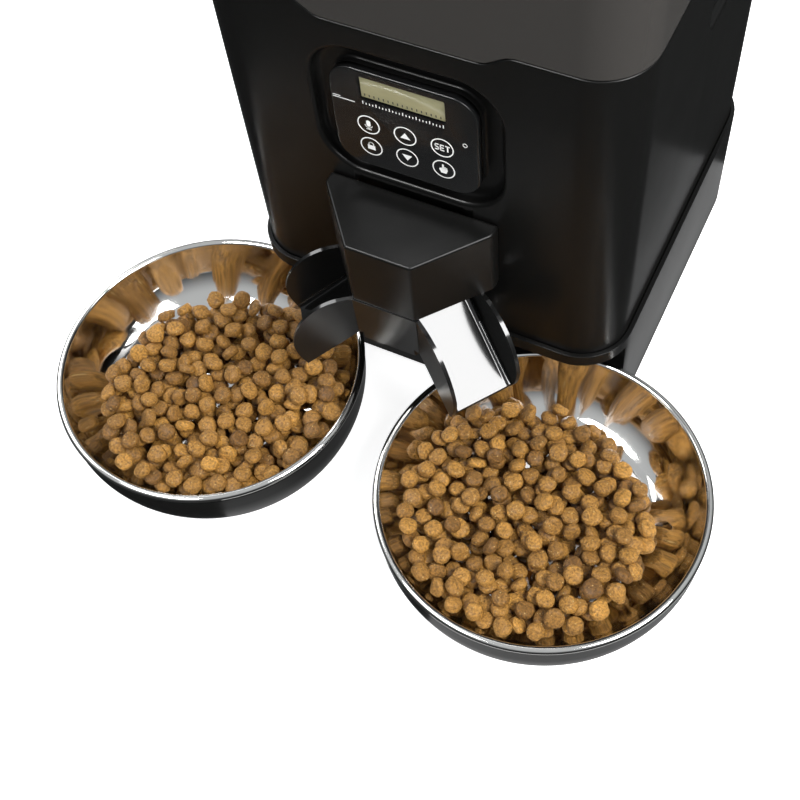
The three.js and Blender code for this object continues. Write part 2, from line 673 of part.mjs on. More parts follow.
function makeAgitator() {
  const bottom = CHAMBER_FLOOR + 0.8 + ROTOR_HEIGHT + FIT;
  const cap = turned([[0, bottom], [11, bottom], [11, bottom + 5], [5, bottom + 16], [0, bottom + 17]], 24);
  const arm = block(0, 38, -2.5, 2.5, bottom + 9, bottom + 13);
  const finger = block(34, 38, -2.5, 2.5, bottom + 9, bottom + 26);
  return join(cap, arm.rotate([0, 0, 120]), finger.rotate([0, 0, 120]));
}

function gearShape(teeth) {
  const tip = (GEAR_MODULE * (teeth + 2)) / 2 - 0.1;
  const root = (GEAR_MODULE * (teeth - 2.5)) / 2;
  const points = [];
  for (let i = 0; i < teeth; i += 1) {
    for (const [share, radius] of [[-0.3, root], [-0.1, tip], [0.1, tip], [0.3, root]]) {
      const angle = (2 * Math.PI * (i + share)) / teeth;
      points.push([radius * Math.cos(angle), radius * Math.sin(angle)]);
    }
  }
  return outline(points);
}

function makeGear(teeth, bore, hubRadius) {
  const wheel = upright(gearShape(teeth), GEAR_Z, GEAR_Z + GEAR_THICK);
  const hub = post(hubRadius, GEAR_Z, GEAR_Z + GEAR_THICK + 4);
  return cut(join(wheel, hub), post(bore, GEAR_Z - 1, GEAR_Z + GEAR_THICK + 5, 0, 0, 16));
}

function makeGearCase() {
  const top = CHASSIS_Z - 2 - 2 * FIT;
  const outer = block(-CASE_HALF, CASE_HALF, CASE_FRONT, CASE_REAR, CASE_BOTTOM, top);
  const inner = block(
    -CASE_HALF + CASE_WALL, CASE_HALF - CASE_WALL, CASE_FRONT + CASE_WALL, CASE_REAR - CASE_WALL,
    CASE_BOTTOM + CASE_WALL, top + 1,
  );
  const seat = post(SHAFT_RADIUS + 3, CASE_BOTTOM, GEAR_Z - FIT, 0, ROTOR_Y);
  const holes = [
    post(SHAFT_RADIUS + FIT, CASE_BOTTOM + 1, GEAR_Z + 1, 0, ROTOR_Y),
    post(3, CASE_BOTTOM - 1, GEAR_Z, 0, PINION_Y),
  ];
  return cut(join(cut(outer, inner), seat), ...holes);
}

function makeGearCover() {
  const plate = block(-CASE_HALF, CASE_HALF, CASE_FRONT, CASE_REAR, CHASSIS_Z - 2 - FIT, CHASSIS_Z - FIT);
  return cut(plate, post(SHAFT_RADIUS + 1, CHASSIS_Z - 4, CHASSIS_Z + 1, 0, ROTOR_Y));
}

// A sloping tunnel from the hole under the rotor to the outlet in the front wall.
function makeChute() {
  const mouthY = BODY_FRONT + FIT;
  const floorAt = (y) => OUTLET_BOTTOM + 2.7 + (y - mouthY) * 0.655;
  const back = HOLE_REAR + 3;
  const top = CHASSIS_Z - FIT;
  const roofFront = OUTLET_TOP - SLIP - 1;
  const outer = outline([
    [mouthY, floorAt(mouthY) - 2], [back, Math.min(floorAt(back) - 2, top - 3)], [back, top],
    [HOLE_FRONT - 3, top], [mouthY, roofFront],
  ]);
  const inner = outline([
    [mouthY - 5, floorAt(mouthY - 5)], [back - 2, Math.min(floorAt(back - 2), top - 1)], [back - 2, top + 4],
    [HOLE_FRONT - 1, top + 4], [HOLE_FRONT - 1, top - 2.5], [mouthY - 5, roofFront - 4],
  ]);
  return cut(alongX(outer, -OUTLET_HALF, OUTLET_HALF), alongX(inner, -OUTLET_HALF + 2, OUTLET_HALF - 2));
}

function buildWorks(parent) {
  const fixed = assembly(parent);
  piece(fixed, 'chassis_plate', makeChassis(), white);
  piece(fixed, 'outlet_chute', makeChute(), satinBlack);
  piece(fixed, 'gearbox_case', makeGearCase(), white);
  piece(fixed, 'gearbox_cover', makeGearCover(), white);
  const motorTop = CASE_BOTTOM - FIT;
  const can = post(MOTOR_RADIUS, motorTop - MOTOR_LENGTH, motorTop, 0, PINION_Y);
  piece(fixed, 'motor', cut(can, post(1.8, motorTop - 12, motorTop + 1, 0, PINION_Y, 12)), zinc);

  const rotorAxis = assembly(parent, 0, ROTOR_Y, 0);
  piece(rotorAxis, 'rotor_chamber', makeChamber(), satinBlack);
  piece(rotorAxis, 'baffle_plate', makeBaffle(), satinBlack);
  piece(rotorAxis, 'rotor', makeRotor(), paleGrey);
  piece(rotorAxis, 'agitator', makeAgitator(), paleGrey);
  piece(rotorAxis, 'drive_gear', makeGear(GEAR_TEETH, SHAFT_RADIUS + FIT, 8), white);
  const shaftTop = CHAMBER_FLOOR + ROTOR_HEIGHT - 4;
  piece(rotorAxis, 'drive_shaft', post(SHAFT_RADIUS, CASE_BOTTOM + 1 + FIT, shaftTop, 0, 0, 20), steel);

  const pinionAxis = assembly(parent, 0, PINION_Y, 0);
  const shaft = post(1.2, motorTop - 11, GEAR_Z + GEAR_THICK + 3, 0, 0, 12);
  piece(pinionAxis, 'motor_pinion', join(makeGear(PINION_TEETH, 1.2, 3.4), shaft), brass);
}

// ---------- hopper and lid ----------
const SKIRT_INSET = BODY_WALL + SLIP;
const SKIRT_WALL = 2.4;
const FUNNEL_TOP = LEDGE_Z + FIT;
const FUNNEL_BOTTOM = CHAMBER_TOP + 2 * FIT + 2 + 1.2;
const LID_BOTTOM = HOPPER_TOP + FIT;
const LID_TOP = LID_BOTTOM + LID_HEIGHT;
const LUG_HALF = 7;
const LUG_X = 62;
const LATCH_HALF = 15;
const LATCH_PIVOT_Z = LID_BOTTOM + 10;
const LATCH_THICK = 3;
const CATCH_Z = HOPPER_TOP - 8;
const CATCH_PROUD = 0.8; // the catch bar stands this far out of the hopper's front wall
const LID_FRONT = BODY_FRONT - LID_OVERHANG;
const CASE_RADIUS = 21;

function lidPlan(inset) {
  return bodyPlan(inset - LID_OVERHANG);
}

function makeHopper() {
  const tub = upright(bodyPlan(0), SEAM_LOW, HOPPER_TOP).intersect(
    alongY(seamOutline(HOPPER_TOP + 10, SEAM_GAP), -5, REAR + 5),
  );
  const skirt = upright(bodyPlan(SKIRT_INSET), SEAM_LOW - HOPPER_SKIRT, LEDGE_Z);
  const throat = upright(bodyPlan(SKIRT_INSET + SKIRT_WALL), SEAM_LOW - HOPPER_SKIRT - 1, LEDGE_Z + 1);
  const hollow = upright(bodyPlan(HOPPER_WALL), LEDGE_Z, HOPPER_TOP + 1);
  const catchBar = block(
    -LATCH_HALF + 3, LATCH_HALF - 3, BODY_FRONT - CATCH_PROUD, BODY_FRONT + 1, CATCH_Z, CATCH_Z + 1.6,
  );
  const lugs = [-1, 1].map((side) => hopperKnuckle(side * LUG_X, LUG_HALF));
  return cut(join(tub, skirt, catchBar, ...lugs), throat, hollow);
}

// A hopper hinge knuckle about the lid's axis, with a web down to the rear wall.
function hopperKnuckle(x, half) {
  const round = barAlongX(KNUCKLE_RADIUS, x - half, x + half, HINGE_Y, HINGE_Z, 20);
  const wall = BODY_REAR - 1;
  const web = alongX(
    outline([
      [wall, HINGE_Z - 1], [HINGE_Y, HINGE_Z], [HINGE_Y + KNUCKLE_RADIUS - 0.6, HINGE_Z - 1],
      [wall, HINGE_Z - 12],
    ]),
    x - half, x + half,
  );
  const bore = barAlongX(PIN_RADIUS + FIT, x - half - 1, x + half + 1, HINGE_Y, HINGE_Z, 14);
  return cut(join(round, web), bore);
}

function makeFunnel() {
  const gap = SKIRT_INSET + SKIRT_WALL + 2 * FIT;
  const topX = BODY_WIDTH / 2 - gap;
  const topY = BODY_DEPTH / 2 - gap;
  const topCorner = BODY_CORNER - gap;
  const low = ROTOR_RADIUS;
  const shell = (inset, beyond) =>
    lofted([
      levelRing(low - inset, low - inset, low - inset - 0.6, FUNNEL_BOTTOM - beyond, ROTOR_Y),
      levelRing(low - inset, low - inset, low - inset - 0.6, FUNNEL_BOTTOM + 3, ROTOR_Y),
      levelRing(topX - inset, topY - inset, topCorner - inset, LEDGE_Z - 4, MIDDLE_Y),
      levelRing(topX - inset, topY - inset, topCorner - inset, FUNNEL_TOP + 2 + beyond, MIDDLE_Y),
    ]);
  const flange = upright(bodyPlan(HOPPER_WALL + FIT), FUNNEL_TOP, FUNNEL_TOP + 2);
  return cut(join(shell(0, 0), flange), shell(2, 1));
}

function makeLid() {
  const cap = lofted([
    lidRing(0, LID_BOTTOM),
    lidRing(0, LID_TOP - 5),
    lidRing(1.5, LID_TOP - 1.6),
    lidRing(5, LID_TOP),
  ]);
  const mouth = upright(bodyPlan(HOPPER_WALL + SLIP + 4), LID_BOTTOM - 7, LID_BOTTOM + 3);
  const hollow = join(upright(lidPlan(LID_WALL + 1), LID_BOTTOM + LID_WALL, LID_TOP - 5), mouth);
  const plug = cut(upright(bodyPlan(HOPPER_WALL + SLIP + 1.6), LID_BOTTOM - 6, LID_BOTTOM + 1), mouth);
  const bosses = [-1, 1].map((side) => lidKnuckle(side * (LUG_X - LUG_HALF - 6.5), 6));
  const notches = [-1, 1].map((side) => {
    const x = side * LUG_X;
    return block(x - LUG_HALF - SLIP, x + LUG_HALF + SLIP, BODY_REAR - 1.5, REAR + 5, LID_BOTTOM - 1, LID_TOP + 1);
  });
  const latchNotch = block(
    -LATCH_HALF - SLIP, LATCH_HALF + SLIP, LID_FRONT - 1, LID_FRONT + LATCH_THICK + SLIP, LID_BOTTOM - 1, LATCH_PIVOT_Z + 3.7,
  );
  const pinHole = barAlongX(1.1 + FIT, -LATCH_HALF - 4, LATCH_HALF + 4, LID_FRONT + 1.4, LATCH_PIVOT_Z, 12);
  const shell = cut(join(cut(cap, hollow), plug), ...notches, latchNotch);
  return cut(join(shell, ...bosses), pinHole);
}

function lidRing(inset, z) {
  const grow = LID_OVERHANG - inset;
  const corner = BODY_CORNER + LID_OVERHANG - inset * 0.5;
  return levelRing(BODY_WIDTH / 2 + grow, BODY_DEPTH / 2 + grow, corner, z, MIDDLE_Y);
}

function lidKnuckle(x, half) {
  const wall = BODY_REAR + LID_OVERHANG;
  const web = alongX(
    outline([[wall - 1, HINGE_Z - 2], [HINGE_Y, HINGE_Z - 2], [HINGE_Y, HINGE_Z + 3], [wall - 1, HINGE_Z + 8]]),
    x - half, x + half,
  );
  const round = barAlongX(KNUCKLE_RADIUS - 0.2, x - half, x + half, HINGE_Y, HINGE_Z, 20);
  const bore = barAlongX(PIN_RADIUS + FIT, x - half - 1, x + half + 1, HINGE_Y, HINGE_Z, 14);
  return cut(join(round, web), bore);
}

function makeLidSeal() {
  const outer = upright(bodyPlan(HOPPER_WALL + FIT), LID_BOTTOM - 4, LID_BOTTOM - 1.5);
  const inner = upright(bodyPlan(HOPPER_WALL + SLIP + 1.6 - FIT), LID_BOTTOM - 5, LID_BOTTOM - 1);
  return cut(outer, inner);
}

function makeLatch() {
  const y0 = LID_FRONT - 1;
  const y1 = LID_FRONT + LATCH_THICK - 0.9;
  const top = LATCH_PIVOT_Z + 1.4;
  const plate = block(-LATCH_HALF, LATCH_HALF, y0, y1, LATCH_PIVOT_Z - 4, top);
  const tail = block(-LATCH_HALF, LATCH_HALF, y0 - 1.6, y0 + 0.4, CATCH_Z - 6, top);
  const hook = block(-LATCH_HALF + 3, LATCH_HALF - 3, y0, BODY_FRONT - CATCH_PROUD - FIT, CATCH_Z - 2.4, CATCH_Z - 0.6);
  const trunnions = barAlongX(1.1, -LATCH_HALF - 3, LATCH_HALF + 3, LID_FRONT + 1.4, LATCH_PIVOT_Z, 12);
  return join(plate, tail, hook, trunnions);
}

function makeDesiccantCase() {
  const top = LID_TOP - 5 - FIT;
  const floor = LID_BOTTOM - 16;
  return cut(
    post(CASE_RADIUS, floor, top, 0, MIDDLE_Y, 32),
    post(CASE_RADIUS - 1.8, floor - 1, top - 2, 0, MIDDLE_Y, 32),
  );
}

function makeDesiccantCover() {
  const floor = LID_BOTTOM - 16;
  const disc = join(
    post(CASE_RADIUS, floor - FIT - 2, floor - FIT, 0, 0, 32),
    post(CASE_RADIUS - 1.8 - SLIP, floor - FIT - 1, floor + 3, 0, 0, 32),
  );
  const slots = [-2, -1, 0, 1, 2].map((i) => block(-12, 12, i * 6 - 1.2, i * 6 + 1.2, floor - 4, floor + 5));
  return cut(disc, ...slots);
}

function buildHopper(parent) {
  const group = assembly(parent);
  piece(group, 'hopper', makeHopper(), smoke);
  piece(group, 'funnel', makeFunnel(), satinBlack);
  piece(group, 'lid', makeLid(), satinBlack);
  piece(group, 'lid_seal', makeLidSeal(), siliconeGrey);
  const inner = LUG_X - LUG_HALF - 13;
  [-1, 1].forEach((side, i) => {
    const ends = [side * inner, side * (LUG_X + LUG_HALF)].sort((a, b) => a - b);
    piece(group, `lid_hinge_pin_${i + 1}`, barAlongX(PIN_RADIUS, ends[0], ends[1], HINGE_Y, HINGE_Z, 14), steel);
  });
  piece(group, 'lid_latch', makeLatch(), satinBlack);
  piece(group, 'desiccant_case', makeDesiccantCase(), satinBlack);
  const bagTop = LID_TOP - 5 - 2 - 3 * FIT;
  const bag = post(CASE_RADIUS - 3.5, LID_BOTTOM - 12, bagTop, 0, MIDDLE_Y, 20);
  piece(group, 'desiccant_bag', bag, white);
  const cover = assembly(group, 0, MIDDLE_Y, 0);
  piece(cover, 'desiccant_cover', makeDesiccantCover(), satinBlack);
}

// ---------- splitter ----------
// Plan frame of the right channel: it leaves the hood's slanted face square to it.
const FACE = new THREE.Vector2(HOOD_BACK_HALF - HOOD_FRONT_HALF, HOOD_REACH).normalize();
const FLOW_ANGLE = Math.atan2(-FACE.x, FACE.y); // of the way the food leaves, from +X
const TRAY_TOP = HOOD_BOTTOM - FIT;
const TRAY_BACK = BODY_FRONT - FIT;

// Plan of the hood: flat front, two slanted faces, then short sides back to the housing.
function hoodPlan(inset, back) {
  const run = HOOD_SHOULDER_HALF - HOOD_FRONT_HALF;
  const rise = HOOD_SHOULDER_Y + HOOD_REACH;
  const length = Math.hypot(run, rise);
  const front = inset - HOOD_REACH;
  const frontHalf = HOOD_FRONT_HALF - (inset * (length - run)) / rise;
  const half = HOOD_SHOULDER_HALF - inset;
  const shoulder = HOOD_SHOULDER_Y + (inset * (length - rise)) / run;
  const chamfer = 1.1;
  return outline([
    [-frontHalf, front], [frontHalf, front], [half - (chamfer * run) / length, shoulder - (chamfer * rise) / length],
    [half, shoulder + chamfer], [half, back], [-half, back],
    [-half, shoulder + chamfer], [(chamfer * run) / length - half, shoulder - (chamfer * rise) / length],
  ]);
}

function makeHood() {
  const outer = upright(hoodPlan(0, TRAY_BACK), HOOD_BOTTOM, HOOD_TOP);
  const inner = upright(hoodPlan(HOOD_WALL, TRAY_BACK + 2), HOOD_BOTTOM - 1, HOOD_TOP - HOOD_WALL);
  return cut(outer, inner);
}

// Moves a solid drawn with X along the flow, Y along the slanted face and Z up to its place.
function toFace(solid) {
  return solid.rotate([0, 0, THREE.MathUtils.radToDeg(FLOW_ANGLE)]).translate([HOOD_FRONT_HALF, -HOOD_REACH, 0]);
}

// Side outline of a channel's cheek, along the flow and up: a leaf that curls over to its tip.
function cheekOutline(drop) {
  const tipS = CHUTE_REACH + 4.5;
  const tipZ = CHUTE_EDGE_Z - 4;
  const topZ = TRAY_TOP - drop;
  const curve = new THREE.CubicBezierCurve(
    new THREE.Vector2(6, topZ),
    new THREE.Vector2(20, topZ - 0.5),
    new THREE.Vector2(tipS - 0.5, tipZ + 12),
    new THREE.Vector2(tipS, tipZ),
  );
  const under = floorAlong(CHUTE_REACH) - 1.5;
  const lower = new THREE.QuadraticBezierCurve(
    new THREE.Vector2(tipS, tipZ),
    new THREE.Vector2(tipS - 0.5, tipZ - 8),
    new THREE.Vector2(CHUTE_REACH, under),
  );
  const curved = [...curve.getPoints(9), ...lower.getPoints(4).slice(1)].map((p) => [p.x, p.y]);
  return outline([[-20, topZ], ...curved, [-20, floorAlong(-20) - 1.5]]);
}

function floorAlong(s) {
  return CHUTE_EDGE_Z - CHUTE_SLOPE * s;
}

function makeTrayHalf() {
  const body = upright(
    outline([
      [-1, -HOOD_REACH],
      [HOOD_FRONT_HALF, -HOOD_REACH],
      [HOOD_FRONT_HALF + CHUTE_WIDTH * FACE.x, -HOOD_REACH + CHUTE_WIDTH * FACE.y],
      [OUTLET_HALF, TRAY_BACK],
      [-1, TRAY_BACK],
    ]),
    TRAY_BOTTOM, TRAY_TOP,
  );
  const under = outline([
    [-60, 0], [60, 0], [60, floorAlong(60) - 1.5], [-2, floorAlong(-2) - 1.5], [-2, TRAY_BOTTOM], [-60, TRAY_BOTTOM],
  ]);
  const cheek = (drop, y0, y1) => toFace(alongY(cheekOutline(drop), y0, y1));
  const slab = outline([
    [-20, floorAlong(-20)], [CHUTE_REACH, floorAlong(CHUTE_REACH)],
    [CHUTE_REACH, floorAlong(CHUTE_REACH) - 1.5], [-20, floorAlong(-20) - 1.5],
  ]);
  const floor = toFace(alongY(slab, 0, CHUTE_WIDTH));
  const hollow = outline([[-70, floorAlong(-70)], [60, floorAlong(60)], [60, 160], [-70, 160]]);
  const channel = toFace(alongY(hollow, CHUTE_WALL, CHUTE_WIDTH - CHUTE_WALL));
  const cheeks = [cheek(0, 0, CHUTE_WALL), cheek(3, CHUTE_WIDTH - CHUTE_WALL, CHUTE_WIDTH)];
  const solid = cut(join(body, floor, ...cheeks), channel, toFace(alongY(under, -20, CHUTE_WIDTH + 20)));
  const ownSide = block(0, 200, -200, TRAY_BACK, 0, 200);
  return solid.intersect(ownSide);
}

function makeTray() {
  const half = makeTrayHalf();
  const tongue = block(
    -TONGUE_HALF, TONGUE_HALF, TRAY_BACK - 1, BODY_FRONT + BODY_WALL + 2, TONGUE_Z, TONGUE_Z + TONGUE_THICK,
  );
  return join(half, half.mirror([1, 0, 0]), tongue);
}

function buildSplitter(parent) {
  const group = assembly(parent);
  piece(group, 'splitter_hood', makeHood(), satinBlack);
  piece(group, 'splitter_tray', makeTray(), satinBlack);
}

// ---------- bowls ----------
function makeBowl() {
  const rollR = BOWL_RADIUS - ROLL_RADIUS;
  const rollZ = BOWL_RIM - ROLL_RADIUS;
  const lip = rollR - ROLL_RADIUS;
  const flat = 42;
  const floor = BOWL_RIM - BOWL_DEPTH;
  const wall = new THREE.CubicBezierCurve(
    new THREE.Vector2(flat, floor),
    new THREE.Vector2(flat + 16, floor + 0.5),
    new THREE.Vector2(lip - 5, floor + 9),
    new THREE.Vector2(lip, rollZ),
  );
  const inside = wall.getPoints(6).map((p) => [p.x, p.y]).reverse();
  const outside = wall.getPoints(6).slice(0, -1).map((p) => [p.x + STEEL * 0.75, p.y - STEEL]);
  const roll = arc(rollR, rollZ, ROLL_RADIUS, -60, 180, 5).slice(0, -1);
  return turned([[0, floor - STEEL], ...outside, [lip + STEEL, rollZ - 1.2], ...roll, ...inside, [0, floor]], 40);
}

// A moulded cup that tapers in to its base.
function makeHolder() {
  const top = BOWL_RIM - 2 * ROLL_RADIUS - FIT;
  const outer = BOWL_RADIUS - 0.8;
  const inner = outer - HOLDER_WALL;
  const outside = new THREE.CubicBezierCurve(
    new THREE.Vector2(HOLDER_BASE, 0),
    new THREE.Vector2(HOLDER_BASE + 12, 3),
    new THREE.Vector2(outer, 24),
    new THREE.Vector2(outer, 38),
  );
  const inside = new THREE.CubicBezierCurve(
    new THREE.Vector2(inner, 39),
    new THREE.Vector2(inner - 0.4, 25.5),
    new THREE.Vector2(HOLDER_BASE + 10.6, 5.4),
    new THREE.Vector2(HOLDER_BASE, 2.6),
  );
  return turned(
    [
      [0, 0], ...outside.getPoints(6).map((p) => [p.x, p.y]), [outer, top - 1], [outer - 0.6, top],
      [inner + 0.5, top], [inner, top - 1], ...inside.getPoints(5).map((p) => [p.x, p.y]), [0, 2.6],
    ],
    40,
  );
}

function buildBowls(parent) {
  [-1, 1].forEach((side) => {
    const name = side < 0 ? 'left' : 'right';
    const place = assembly(parent, side * BOWL_X, BOWL_Y, 0);
    piece(place, `bowl_${name}`, makeBowl(), steel);
    piece(place, `bowl_holder_${name}`, makeHolder(), satinBlack);
  });
}

// ---------- whole ----------
const feeder = new THREE.Group();
const whole = assembly(feeder, 0, -ORIGIN_Y, 0);
buildStand(whole);
buildHousing(whole);
buildWorks(whole);
buildHopper(whole);
buildSplitter(whole);
buildBowls(whole);

export default feeder;
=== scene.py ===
import math

import bmesh
import bpy
import numpy as np
from mathutils import Matrix


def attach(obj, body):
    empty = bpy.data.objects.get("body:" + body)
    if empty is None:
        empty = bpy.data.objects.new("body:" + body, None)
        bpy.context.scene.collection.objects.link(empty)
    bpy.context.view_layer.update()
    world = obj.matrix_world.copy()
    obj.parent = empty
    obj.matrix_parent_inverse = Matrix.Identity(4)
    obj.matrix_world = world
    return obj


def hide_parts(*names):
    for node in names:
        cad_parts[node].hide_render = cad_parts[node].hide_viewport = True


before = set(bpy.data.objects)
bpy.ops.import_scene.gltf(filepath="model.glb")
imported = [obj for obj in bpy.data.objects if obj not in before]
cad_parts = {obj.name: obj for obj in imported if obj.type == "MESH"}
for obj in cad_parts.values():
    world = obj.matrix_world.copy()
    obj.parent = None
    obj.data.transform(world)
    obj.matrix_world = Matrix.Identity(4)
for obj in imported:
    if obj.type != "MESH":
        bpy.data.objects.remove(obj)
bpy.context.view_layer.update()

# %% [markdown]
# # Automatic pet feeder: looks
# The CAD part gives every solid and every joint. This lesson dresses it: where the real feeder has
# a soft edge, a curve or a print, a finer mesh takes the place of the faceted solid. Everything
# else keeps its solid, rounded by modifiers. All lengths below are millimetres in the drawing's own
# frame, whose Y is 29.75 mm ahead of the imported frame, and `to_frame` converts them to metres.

SHIFT_Y = 29.75
MM = 0.001
MIDDLE_Y = 95  # middle of the stand and the housing
BOWL_X = 86
BOWL_Y = -60
scene = bpy.context.scene


def to_frame(point):
    x, y, z = point
    return (x * MM, (y - SHIFT_Y) * MM, z * MM)


def make_object(name, points, faces, smooth=True):
    mesh = bpy.data.meshes.new(name)
    mesh.from_pydata([to_frame(p) for p in points], [], faces)
    if smooth:
        mesh.shade_smooth()
    obj = bpy.data.objects.new(name, mesh)
    scene.collection.objects.link(obj)
    return obj


def dress(obj, body, material, slot, *nodes):
    """Gives a piece its finish, the body it moves with and the CAD nodes it stands for."""
    obj.data.materials.clear()
    obj.data.materials.append(material)
    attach(obj, body)
    if nodes:
        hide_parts(*nodes)


# %% [markdown]
# ## Modelling helpers
# Almost every piece here is a stack of closed rings. A ring is a rounded rectangle with a fixed
# number of points, so any two rings join with quads, and a fillet is only a few more rings. That
# could also be done with sculpted subdivision surfaces, but rings keep each radius exact.

# %% Rings and skins
def rounded_ring(width, height, radius, corner=14, edge=1):
    """Points of a rounded rectangle, anticlockwise, with each straight edge split evenly."""
    a = width / 2 - radius
    b = height / 2 - radius
    corners = [(a, b, 0), (-a, b, 90), (-a, -b, 180), (a, -b, 270)]
    points = []
    for index, (u, v, start) in enumerate(corners):
        for i in range(corner + 1):
            angle = math.radians(start + 90 * i / corner)
            points.append((u + radius * math.cos(angle), v + radius * math.sin(angle)))
        nu, nv, nstart = corners[(index + 1) % 4]
        angle = math.radians(nstart)
        end = (nu + radius * math.cos(angle), nv + radius * math.sin(angle))
        first = points[-1]
        for i in range(1, edge):
            t = i / edge
            points.append((first[0] + (end[0] - first[0]) * t, first[1] + (end[1] - first[1]) * t))
    return points


def loft(rings, caps=True, closed=False):
    """Vertices and faces of a skin through rings that hold the same number of points."""
    count = len(rings[0])
    points = [p for ring in rings for p in ring]
    faces = []
    levels = len(rings)
    for level in range(levels if closed else levels - 1):
        low = level * count
        high = ((level + 1) % levels) * count
        for i in range(count):
            j = (i + 1) % count
            faces.append((low + i, low + j, high + j, high + i))
    if caps and not closed:
        faces.append(tuple(reversed(range(count))))
        faces.append(tuple(range((levels - 1) * count, levels * count)))
    return points, faces


def outward(obj):
    """Turns every face outwards."""
    work = bmesh.new()
    work.from_mesh(obj.data)
    bmesh.ops.recalc_face_normals(work, faces=work.faces)
    work.to_mesh(obj.data)
    work.free()
    return obj


def solid(name, points, faces, smooth=True):
    return outward(make_object(name, points, faces, smooth))


def on_plan(ring, z, cx=0, cy=0):
    return [(x + cx, y + cy, z) for x, y in ring]


def on_front(ring, y, cx=0, cz=0):
    return [(u + cx, y, v + cz) for u, v in ring]


def on_side(ring, x, cy=0, cz=0):
    return [(x, u + cy, v + cz) for u, v in ring]


print("ring helpers ready, a square of", len(rounded_ring(10, 10, 2)), "points")


# %% [markdown]
# ## Cuts and rounds
# Real mouldings have no sharp edge, and a bright line along each edge is what makes a model look
# real. Boolean modifiers join and cut the solids, because they keep the exact outlines that
# modelling by hand would lose. A bevel modifier rounds what is left sharp, and a weighted normal
# modifier keeps the large faces flat beside the small rounds.

# %% Cuts and rounds
def brick(name, x0, x1, y0, y1, z0, z1):
    ring = [(x0, y0), (x1, y0), (x1, y1), (x0, y1)]
    return solid(name, *loft([on_plan(ring, z0), on_plan(ring, z1)]), smooth=False)


def combine(target, operation, *others):
    """Joins, cuts or intersects solids, and deletes the ones that were used up."""
    for other in others:
        modifier = target.modifiers.new("solid", "BOOLEAN")
        modifier.operation = operation
        modifier.solver = "MANIFOLD"
        modifier.object = other
        bpy.context.view_layer.update()
        graph = bpy.context.evaluated_depsgraph_get()
        mesh = bpy.data.meshes.new_from_object(target.evaluated_get(graph))
        target.modifiers.clear()
        old = target.data
        target.data = mesh
        bpy.data.meshes.remove(old)
        bpy.data.objects.remove(other)
    return target


def soften(obj, width, segments=3, limit=35, clean=True):
    """Welds, merges coplanar faces, rounds the sharp edges and evens the shading."""
    if clean:
        weld = obj.modifiers.new("weld", "WELD")
        weld.merge_threshold = 0.00001
        planes = obj.modifiers.new("planes", "DECIMATE")
        planes.decimate_type = "DISSOLVE"
        planes.angle_limit = math.radians(1)
    if width:
        bevel = obj.modifiers.new("rounds", "BEVEL")
        bevel.width = width * MM
        bevel.segments = segments
        bevel.limit_method = "ANGLE"
        bevel.angle_limit = math.radians(limit)
        bevel.miter_outer = "MITER_ARC"
    even = obj.modifiers.new("even", "WEIGHTED_NORMAL")
    even.mode = "FACE_AREA"
    even.weight = 50
    even.keep_sharp = False


print("weld, flatten and bevel ready")


# %% [markdown]
# ## Curves
# Curl of a cheek, wall of a bowl and step of a seam are all curves. They could be drawn as curve
# objects and converted, but a short formula gives the same points each time and stays editable.

# %% Curves
def arc(cu, cv, radius, start, end, steps):
    """Points from one angle to another, in degrees, about a centre."""
    angles = [math.radians(start + (end - start) * i / steps) for i in range(steps + 1)]
    return [(cu + radius * math.cos(a), cv + radius * math.sin(a)) for a in angles]


def bezier(p, steps):
    """Points of a cubic curve through four handles."""
    out = []
    for i in range(steps + 1):
        t = i / steps
        k = ((1 - t) ** 3, 3 * t * (1 - t) ** 2, 3 * t * t * (1 - t), t ** 3)
        out.append(tuple(sum(w * q[a] for w, q in zip(k, p)) for a in (0, 1)))
    return out


def lathe(name, profile, cx, cy, segments=144):
    """Turns a closed profile of (radius, z), whose first and last points lie on the axis."""
    turns = [2 * math.pi * i / segments for i in range(segments)]
    rings = [[(cx + r * math.cos(t), cy + r * math.sin(t), z) for t in turns]
             for r, z in profile[1:-1]]
    return solid(name, *loft(rings))


def smoothstep(x, start, end):
    t = min(1, max(0, (x - start) / (end - start)))
    return t * t * (3 - 2 * t)


SEAM_LOW = 227.5
SEAM_RISE = 6.5


def seam(x):
    """Height of the seam between the housing and the hopper: low in the middle, high at the sides."""
    return SEAM_LOW + SEAM_RISE * smoothstep(abs(x), 32, 46)


print("seam from", seam(0), "to", seam(90))

# %% [markdown]
# ## Shared effects
# Three effects return on many pieces, so each is a node group with named sockets. They only give
# values and masks; the Principled shader and everything optical stay in each material. The same
# nodes could be copied into every material, but then one change would have to be made ten times.

# %% A group with named sockets
def new_group(name, inputs, outputs):
    group = bpy.data.node_groups.new(name, "ShaderNodeTree")
    for label, default in inputs:
        socket = group.interface.new_socket(name=label, in_out="INPUT", socket_type="NodeSocketFloat")
        socket.default_value = default
    for label, kind in outputs:
        group.interface.new_socket(name=label, in_out="OUTPUT", socket_type=kind)
    return group, group.nodes.new("NodeGroupInput"), group.nodes.new("NodeGroupOutput")


